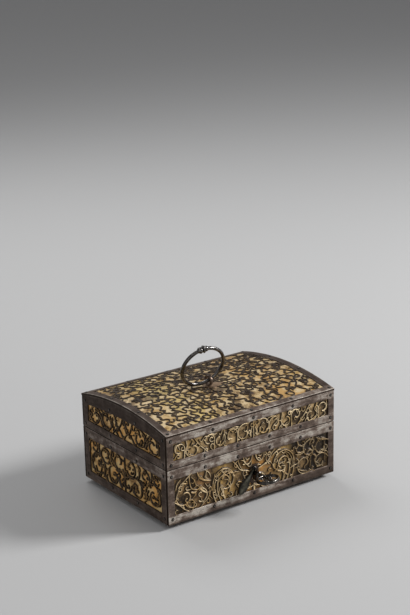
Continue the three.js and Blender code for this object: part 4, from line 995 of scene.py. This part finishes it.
# The vaulted top of the lid
handle = {
    "radius": 19.9, "wire": 1.65, "thinning": 0.03, "knopFromTop": 19.0,
    "tiltForward": 0.321, "lean": 0.517, "twist": -0.135,  # in radians
    "eyeX": -3.8, "eyeY": -7.0, "eyeHeight": 4.7,
    "patchLength": 22.0, "patchDepth": 16.0, "patchPoints": 40,
}
staple = {
    "holeRadius": 3.3, "bar": 1.65, "width": 3.0, "shank": 3.0, "clinchThickness": 1.5, "clinchReach": 7.0,
    "gap": 0.3, "bevel": 0.2, "inset": 0.1,
}
staplePlace = np.array([handle["eyeX"], middleY + handle["eyeY"], crown + handle["eyeHeight"]])


def makeLidTop():
    lift = -vault["seat"]
    reachX = halfLength - plate["topSideBorder"]
    reachY = halfDepth - plate["topFrontBorder"]
    outer = borderLoop(halfLength, -halfDepth, lambda u: np.full_like(u, halfDepth), plate["topSteps"])
    inner = borderLoop(reachX, -reachY, lambda u: np.full_like(u, reachY), plate["topSteps"])
    rubOf = rubFunction("lid_top", -reachY, reachY)
    strip = stripBetween(outer, inner, onVault, lift, rubOf, plate["topWear"])
    makePiece("lid_top_border", strip, iron, "lid", ["lid_top_plate"])

    design = vineDesign(2 * reachX, 2 * reachY)
    ribs = scrollShapes(design, (reachX, -reachY, reachY), onVault, vines, vineProfile)
    makePiece("lid_top_vines", ribs, topScrollIron, "lid", ["lid_top_plate"])

    edgeX = halfLength - plate["topSideBorder"] / 2
    edgeY = halfDepth - plate["topFrontBorder"] / 2
    along, across = plate["topNails"]
    places = nailRow(edgeX, -edgeY, along) + nailRow(edgeX, edgeY, along)
    for sign in (-1, 1):
        places += [(sign * edgeX, v) for v, _ in nailRow(edgeY, 0, across)[1:-1]]
    nails = nailShapes(places, onVault, plate["thickness"])
    makePiece("lid_top_nails", nails, nailIron, "lid")

    long, deep = handle["patchLength"], handle["patchDepth"] / 2
    kite = np.array([(0.7 * long, -1), (1, deep), (-0.3 * long, 0), (1, -deep), (0.7 * long, -1)])
    half = staple["shank"] / 2 + staple["gap"]
    square = np.array([(half, 0), (half, half), (-half, half), (-half, -half), (half, -half), (half, -0.1)])
    eye = (handle["eyeX"], handle["eyeY"])
    outer, inner = (evenLoop(line, handle["patchPoints"]) + eye for line in (kite, square))
    patch = stripBetween(outer, inner, onVault, lift)
    makePiece("staple_patch", patch, patchMetal, "lid", ["lid_top_plate"])


# A curved board: two vaulted faces a few millimetres apart, closed round their edges by a slight bevel.
def vaultSlab(reachX, reachY, outerDrop, innerDrop):
    shareX, shareY = np.meshgrid(*(np.linspace(-1, 1, steps) for steps in vault["steps"]))
    layers = []
    for drop, inset in bevelled(outerDrop, innerDrop, vault["bevel"], vault["bevel"]):
        v = shareY * (reachY - inset)
        layers.append(np.stack([shareX * (reachX - inset), middleY + v, vaultZ(v, drop)], -1))
    rims = [np.vstack([layer[0, :-1], layer[:-1, -1], layer[-1, :0:-1], layer[:0:-1, 0]]) for layer in layers]
    faces = [gridShape(layer, ringed=False) for layer in (layers[0], layers[3])]
    return faces + [gridShape(np.stack(rims), capped=False)]


def makeLidLayers():
    sheetLow, sheetHigh = boxOf("lid_top_ground")
    reachX, reachY = (sheetHigh[:2] - sheetLow[:2]) / 2
    drop = vault["boardDrop"]
    sheet = vaultSlab(reachX, reachY, vines["sheetDrop"], drop)
    board = vaultSlab(reachX, reachY, drop + vault["boardGap"], drop + vault["boardThickness"])
    for piece in (
        makePiece("lid_top_sheet", sheet, giltTop, "lid", ["lid_top_ground"]),
        makePiece("lid_top_wood", board, woodAlong, "lid", ["lid_top_board"]),
    ):
        faceOutwards(piece.data, merge=True)


makeLidTop()
makeLidLayers()
print("lid top made")


# The ring's middle, and its own directions: across it, up from its staple, and out of its face.
def ringPlace():
    tilt, lean, twist = handle["tiltForward"], handle["lean"], handle["twist"]
    up = np.array([-math.sin(lean), -math.sin(tilt) * math.cos(lean), math.cos(tilt) * math.cos(lean)])
    level = np.array([math.cos(lean), -math.sin(tilt) * math.sin(lean), math.cos(tilt) * math.sin(lean)])
    across = level * math.cos(twist) + np.cross(up, level) * math.sin(twist)
    return np.stack([across, up, np.cross(across, up)]), staplePlace + up * handle["radius"]


# A torus, a little thinner near its staple, and the knop's profile turned round the wire.
def makeRing():
    axes, centre = ringPlace()
    angle = circle(120)[:, None]
    wire = handle["wire"] * (1 - handle["thinning"] * (1 - np.sin(angle)))
    radius = handle["radius"] + wire * np.cos(circle(16))
    local = np.stack([radius * np.cos(angle), radius * np.sin(angle), wire * np.sin(circle(16))], -1)
    knopProfile = np.vstack([
        smoothProfile([(1.5, -5.8), (1.95, -5.2), (2.75, -4.1), (2.95, -3.1), (2.6, -1.9), (1.95, -1.05)]),
        smoothProfile([(3.0, -0.75), (3.4, -0.4), (3.4, 0.4), (3.0, 0.75)], 3),
        smoothProfile([(2.0, 1.0), (2.45, 1.6), (2.6, 2.3), (2.3, 3.3), (1.75, 4.3), (1.5, 4.6)]),
    ])
    ringAngle = math.radians(90 - handle["knopFromTop"]) - knopProfile[:, 1:] / handle["radius"]
    reach = handle["radius"] + knopProfile[:, :1] * np.cos(circle(24))
    knop = np.stack([
        reach * np.cos(ringAngle), reach * np.sin(ringAngle), knopProfile[:, :1] * np.sin(circle(24)),
    ], -1)
    shapes = [gridShape(local @ axes + centre, looped=True), gridShape(knop @ axes + centre)]
    makePiece("ring_with_knop", shapes, polishedIron, "ring", ["ring_handle"], 40)


# A rounded rectangle as a swollen circle, for bars with softened corners.
def rounded(angle, reachA, reachB, power=0.55):
    c = np.cos(angle)
    s = np.sin(angle)
    return reachA * np.sign(c) * np.abs(c) ** power, reachB * np.sign(s) * np.abs(s) ** power


# The eye is a flat bar bent round the ring. Its shank goes through the lid and is clinched inside.
def makeStaple():
    angle = circle(48)[:, None]
    radial, axial = rounded(circle(20), staple["bar"] / 2, staple["width"] / 2)
    reach = staple["holeRadius"] + staple["bar"] / 2 + radial
    loop = np.stack([axial + 0 * angle, reach * np.cos(angle), reach * np.sin(angle)], -1)
    shapes = [gridShape(loop + staplePlace, looped=True)]
    start = boxOf("ring_staple")[0][2]
    half = staple["shank"] / 2
    for low, high, reachY in (
        (start + staple["bevel"], staplePlace[2] - staple["holeRadius"] - staple["gap"], half),
        (start, start + staple["clinchThickness"], staple["clinchReach"]),
    ):
        flat = np.column_stack(rounded(circle(20), half, reachY, 0.35))
        rings = [
            np.insert(staplePlace[:2] + flat * (1 - inset), 2, z, axis=1)
            for z, inset in bevelled(low, high, staple["bevel"], staple["inset"])
        ]
        shapes.append(gridShape(np.stack(rings)))
    makePiece("staple_eye", shapes, stapleIron, "lid", ["ring_staple"], 40)


makeRing()
makeStaple()
print("ring and staple made")

# The key, with its bow level, and the keyhole cover that leans on its shank
keyPiece = {
    "bowWidth": 22.4, "bowDepth": 16.0, "bowBar": 2.8, "bowFromPlate": 19.0,
    "barSquash": 0.8,  # the bow's bar is less thick across than upright
    "spine": (0.75, 1.25),  # radius of the bar inside the bow, in its middle and at its ends
    "curlPlace": (3.9, 2.6), "curlRadius": (3.5, 0.8), "curlTurns": (0.25, 0.825), "curlSquash": 0.7,
    "curlWire": (0.6, 0.5), "bead": [(0.2, -0.8), (0.65, -0.5), (0.85, 0), (0.65, 0.5), (0.2, 0.8)],
    # Radius and place along the shank, from the bow to the far side of the collar
    "collar": [
        (1.2, -1.2), (1.9, -0.2), (2.3, 0.7), (2.0, 1.6), (2.0, 4.4), (2.35, 4.7), (2.9, 5.1), (2.9, 6.1),
        (2.35, 6.6), (2.0, 7.0),
    ],
    "shankRadius": 2.0, "tipRadius": 1.75, "tipBevel": 0.3, "boreRadius": 1.35, "boreDepth": 6.0,
    "curlSteps": 26, "spineSteps": 12,
    "bitReach": 7.0, "bitThickness": 2.0, "bitLength": 6.0, "bitFromTip": 0.4,
    "bitBevel": 0.15, "bitInset": 0.12, "wardFloor": 4.3, "wardPlace": (2.2, 3.2),
}
coverPiece = {
    "thickness": 1.2, "angle": 37.0, "seat": 0.3,
    # How far along the leaf from its eye, and how wide to each side
    "outline": [
        (-1.9, 0.3), (-1.6, 1.1), (-1, 1.6), (0, 1.9), (1, 1.6), (1.9, 1.3), (3, 1.2), (6, 1.25), (8, 1.7),
        (9.6, 2.2), (11.5, 2.9), (14.2, 3.9), (17.4, 4.5), (20.6, 4.4), (23, 3.5), (24.6, 2.4), (25.6, 1.2),
        (26, 0.2),
    ],
    # Share of the width, share of the thickness, and the shine, a painted highlight along the middle line
    "profile": [
        (-1, 0, 0), (-1, 0.45, 0), (-0.82, 0.72, 0.1), (-0.4, 0.78, 0.8), (0, 1, 1), (0.4, 0.78, 0.5),
        (0.82, 0.72, 0.1), (1, 0.45, 0), (1, 0, 0),
    ],
    # Radius and height of the rivet's head
    "rivetHead": [(1.75, 0), (1.9, 0.15), (1.7, 0.5), (1.1, 0.8), (0.3, 0.9)],
    "rivetRadius": 0.8,
}


def makeKey():
    bowY = middleY - halfDepth - keyPiece["bowFromPlate"]
    bar = keyPiece["bowBar"] / 2
    squash = keyPiece["barSquash"]
    reachX = keyPiece["bowWidth"] / 2 - bar * squash
    reachY = keyPiece["bowDepth"] / 2 - bar * squash
    angle = circle(72)[:, None]
    out, rise = rounded(circle(14), bar * squash, bar, 0.8)
    bow = np.stack([
        (reachX + out) * np.cos(angle), bowY + (reachY + out) * np.sin(angle), keyZ + rise + 0 * angle,
    ], -1)
    inner = bowY + reachY
    tip = keyEnd - inner
    bore = keyPiece["boreRadius"]
    shank = keyPiece["collar"] + [
        (keyPiece["shankRadius"], tip - keyPiece["tipBevel"]), (keyPiece["tipRadius"], tip),
        (bore, tip), (bore, tip - keyPiece["boreDepth"]),
    ]
    across = np.linspace(-1, 1, keyPiece["spineSteps"])
    spine = np.column_stack([0 * across, bowY + reachY * across, keyZ + 0 * across])
    thin, thick = keyPiece["spine"]
    shapes = [
        gridShape(bow, looped=True),
        lathe([(r, -along) for r, along in shank], 28, (0, inner, keyZ), "y"),
        tube(spine, thin + (thick - thin) * across ** 2, 12),
    ]
    curlX, curlY = keyPiece["curlPlace"]
    steps = keyPiece["curlSteps"]
    curl = ("curlRadius", "curlTurns", "curlWire")
    radius, turns, wire = (np.linspace(*keyPiece[name], steps) for name in curl)
    u = curlX + radius * np.cos(turn * turns)
    w = curlY - radius * np.sin(turn * turns) * keyPiece["curlSquash"]
    for sign in (-1, 1):
        for end in (-1, 1):
            line = np.column_stack([sign * u, bowY + end * w, keyZ + 0 * u])
            shapes += [tube(line, wire, 10), lathe(keyPiece["bead"], 12, line[-1])]
    start, end = keyEnd - keyPiece["bitLength"], keyEnd - keyPiece["bitFromTip"]
    reach, floor = keyPiece["bitReach"], keyPiece["wardFloor"]
    wardStart, wardEnd = start + np.array(keyPiece["wardPlace"])
    outline = np.array([
        (0, start), (reach, start), (reach, wardStart), (floor, wardStart),
        (floor, wardEnd), (reach, wardEnd), (reach, end), (0, end),
    ])
    half = keyPiece["bitThickness"] / 2
    inwards = np.sign(outline.mean(0) - outline)
    layers = [
        np.insert(outline + inwards * inset, 2, keyZ + z, axis=1)
        for z, inset in bevelled(-half, half, keyPiece["bitBevel"], keyPiece["bitInset"])
    ]
    shapes.append(gridShape(np.stack(layers)))
    makePiece("key_forged", shapes, keyIron, "key", ["key"], 40)


# A leaf with a raised middle line: its profile carried from the eye to the tip, as wide as the leaf is there.
def makeCover():
    rows = smoothProfile(coverPiece["outline"], 3)
    across, rise, shine = np.array(coverPiece["profile"]).T
    swing = math.radians(coverPiece["angle"])
    down = np.array([-math.sin(swing), -math.cos(swing)])
    sideways = np.array([math.cos(swing), -math.sin(swing)])
    pivot = np.array([lock["coverPivotX"], coverPivotZ])
    flat = pivot + rows[:, :1, None] * down + (rows[:, 1:] * across)[..., None] * sideways
    back = plate["thickness"] + coverPiece["seat"]
    height = np.tile(back + rise * coverPiece["thickness"], (len(rows), 1))
    leaf = gridShape(onWall("front")(flat[..., 0], flat[..., 1], height), edge=shine)
    makePiece("cover_leaf", leaf, coverIron, "cover", ["keyhole_cover"], 35)

    start = back + coverPiece["thickness"] + coverPiece["seat"]
    shaft = coverPiece["rivetRadius"]
    head = [(shaft, 0), (shaft, start)] + [(r, start + z) for r, z in coverPiece["rivetHead"]]
    rivet = lathe(head, 20, (lock["coverPivotX"], sheetFace["front"], coverPivotZ), "y")
    makePiece("cover_rivet_head", rivet, blackIron, "body", ["keyhole_cover_rivet"], 40)


makeKey()
makeCover()
print("key and cover made")

# Radius and height of a bun foot, in shares of the foot's
footProfile = np.vstack([
    [(0.4, 0)], smoothProfile([(0.66, 0), (0.9, 0.14), (1, 0.34), (0.96, 0.54), (0.8, 0.7), (0.7, 0.8)]),
    [(0.72, 0.84), (0.82, 0.88), (0.82, 1)],
])


def makeFeet():
    for name in ("front_left", "front_right", "back_left", "back_right"):
        low, high = boxOf(f"foot_{name}")
        size = ((high[0] - low[0]) / 2, high[2] - low[2])
        shape = lathe(footProfile * size, 32, (*(low[:2] + high[:2]) / 2, 0), rub=0.25)
        makePiece(f"foot_turned_{name}", shape, iron, "body", [f"foot_{name}"], sharpAngle=40)


# A plate between two corners with a bevel all round.
def slab(corner, opposite):
    (a, b, low), (c, d, high) = corner, opposite
    rings = [
        [(a + k, b + k, z), (c - k, b + k, z), (c - k, d - k, z), (a + k, d - k, z)]
        for z, k in bevelled(low, high, hinge["bevel"], hinge["bevel"])
    ]
    return gridShape(np.array(rings, float), **hinge["leafMarks"])


# A round bar along X with softened ends, on the hinge's axis.
def barrel(start, end, radius):
    around = np.column_stack([np.cos(circle(28)), np.sin(circle(28))])
    rings = [
        np.insert((hingeY, hingeZ) + (radius - k) * around, 0, x, axis=1)
        for x, k in bevelled(start, end, hinge["bevel"], hinge["bevel"])
    ]
    return gridShape(np.stack(rings), **hinge["barrelMarks"])


def makeHinges():
    half = hinge["width"] / 2
    tongue = hinge["lidKnuckle"] / 2
    gap = hinge["gap"]
    knuckle = hinge["knuckleRadius"]
    wall = middleY + halfDepth
    leaf = wall + hinge["leafThickness"]
    neckY = hingeY - hinge["neckSetback"]
    lower, upper = hingeZ - knuckle - gap, hingeZ + knuckle + gap
    bottom, top = lower - hinge["bodyLeafLength"], upper + hinge["lidLeafLength"]
    lean = math.radians(hinge["heelAngle"])
    neckLow, neckHigh = hingeZ - hinge["neckGap"], hingeZ + hinge["neckGap"]

    def behind(u, v, h):
        return np.stack([u, leaf + h, v], -1)

    for name, x in (("left", -hinge["spacing"] / 2), ("right", hinge["spacing"] / 2)):
        node = f"hinge_{name}"
        shapes = [slab((x - half, wall, bottom), (x + half, leaf, lower))]
        for a, b in ((x - half, x - tongue - gap), (x + tongue + gap, x + half)):
            neck = slab((a, wall, lower - hinge["neckLap"]), (b, neckY, neckLow))
            shapes += [barrel(a, b, knuckle), neck]
        makePiece(f"{node}_lower", shapes, iron, "body", [f"{node}_body_leaf"], sharpAngle=35)

        thick = hinge["heelThickness"] / 2
        heel = slab((x - tongue, 0, -thick), (x + tongue, hinge["heelReach"], thick))
        u, y, z = heel["points"].T
        leaningY = hingeY + y * math.cos(lean) - z * math.sin(lean)
        heel["points"] = np.column_stack([u, leaningY, hingeZ + y * math.sin(lean) + z * math.cos(lean)])
        shapes = [
            slab((x - half, wall, upper), (x + half, leaf, top)),
            slab((x - tongue, wall, neckHigh), (x + tongue, neckY, upper + hinge["neckLap"])),
            barrel(x - tongue, x + tongue, knuckle),
            heel,
        ]
        makePiece(f"{node}_upper", shapes, iron, "lid", [f"{node}_lid_leaf"], sharpAngle=35)

        inside = half + gap
        outside = inside + hinge["pinHeadLength"]
        rod = inside + hinge["pinHeadLap"]
        pin = [
            barrel(x - outside, x - inside, hinge["pinHeadRadius"]),
            barrel(x + inside, x + outside, hinge["pinHeadRadius"]),
            barrel(x - rod, x + rod, hinge["pinRadius"]),
        ]
        makePiece(f"{node}_rod", pin, iron, "body", [f"{node}_pin"], sharpAngle=40)

        for level, way, end, body in (("lower", 1, bottom, "body"), ("upper", -1, top, "lid")):
            places = [
                (x + k * half * hinge["nailShare"], end + way * (hinge["nailFromEnd"] + m))
                for k, m in ((-1, 0), (1, 0), (0, hinge["nailRise"]))
            ]
            nails = nailShapes(places, behind, 0.0)
            makePiece(f"{node}_{level}_nails", nails, nailIron, body)


makeFeet()
makeHinges()
print("feet and hinges made")

# CAD pieces that keep their shape get their finish here
finishes = {"floor_board": woodAlong, "staple_rove": blackIron}
for part, giltLong in (("body", giltFrontPaintedShade), ("lid", giltLidFront)):
    for side, gilt, wood in (
        ("front", giltLong, woodAlong), ("back", giltLong, woodAlong),
        ("left", giltLeftEndPaintedLight, woodAcross), ("right", giltRightEndPaintedShade, woodAcross),
    ):
        finishes[f"{part}_{side}_ground"] = gilt
        finishes[f"{part}_{side}_board"] = wood
for name in (
    "lock_plate", "lock_case", "key_post", "lock_bolt", "bolt_guide_left", "bolt_guide_right", "lid_keeper",
):
    finishes[name] = lockIron
for name, material in finishes.items():
    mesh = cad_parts[name].data
    mesh.materials.clear()
    mesh.materials.append(material)


# Floor, light and camera
studio = {
    "floor": (0.43, 0.43, 0.43),
    "floorReach": 6.0,
    "world": (0.62, 0.62, 0.63),
    "worldStrength": 0.45,
    "aim": (0, 0.01, 0.05),
    "lamps": [  # name, place, size, power
        ("right_light", (1.75, -1.0, 1.3), 0.7, 66.0),
        ("left_light", (-1.2, -1.0, 0.9), 1.2, 4.5),
        ("back_light", (0.1, 1.1, 1.3), 1.0, 10.0),
    ],
}
view = {
    "eye": (-0.6923, -0.957595, 0.5256),
    "azimuth": -35.57,
    "elevation": 17.06,
    "roll": -1.30,
    "focalPixels": 1436.0,
    "imageHeight": 615,
    "sensor": 36.0,
}


def addToScene(name, data):
    thing = bpy.data.objects.new(name, data)
    bpy.context.scene.collection.objects.link(thing)
    return thing


def makeStudio():
    bpy.context.scene.view_settings.view_transform = "Standard"
    material, _, shader = newMaterial("floor_paper", Roughness=0.85)
    shader.inputs["Base Color"].default_value = (*studio["floor"], 1)
    mesh = bpy.data.meshes.new("floor")
    far = studio["floorReach"]
    mesh.from_pydata([(-far, -far, 0), (far, -far, 0), (far, far, 0), (-far, far, 0)], [], [(0, 1, 2, 3)])
    mesh.materials.append(material)
    addToScene("floor", mesh)
    world = bpy.context.scene.world or bpy.data.worlds.new("world")
    bpy.context.scene.world = world
    world.use_nodes = True
    background = world.node_tree.nodes["Background"]
    background.inputs["Color"].default_value = (*studio["world"], 1)
    background.inputs["Strength"].default_value = studio["worldStrength"]
    for name, place, size, power in studio["lamps"]:
        data = bpy.data.lights.new(name, "AREA")
        data.shape = "DISK"
        data.size = size
        data.energy = power
        lamp = addToScene(name, data)
        lamp.location = place
        lamp.rotation_euler = (Vector(studio["aim"]) - Vector(place)).to_track_quat("-Z", "Y").to_euler()


# The camera's turns: from looking down to its elevation, round to its azimuth, and its own roll first.
def makeCamera():
    data = bpy.data.cameras.new("camera")
    data.sensor_width = view["sensor"]
    data.lens = view["focalPixels"] / view["imageHeight"] * view["sensor"]
    camera = addToScene("camera", data)
    placed = Matrix.Translation(view["eye"])
    for degrees, axis in ((view["azimuth"], "Z"), (90 - view["elevation"], "X"), (view["roll"], "Z")):
        placed = placed @ Matrix.Rotation(math.radians(degrees), 4, axis)
    camera.matrix_world = placed
    bpy.context.scene.camera = camera


makeStudio()
makeCamera()
print("studio made")
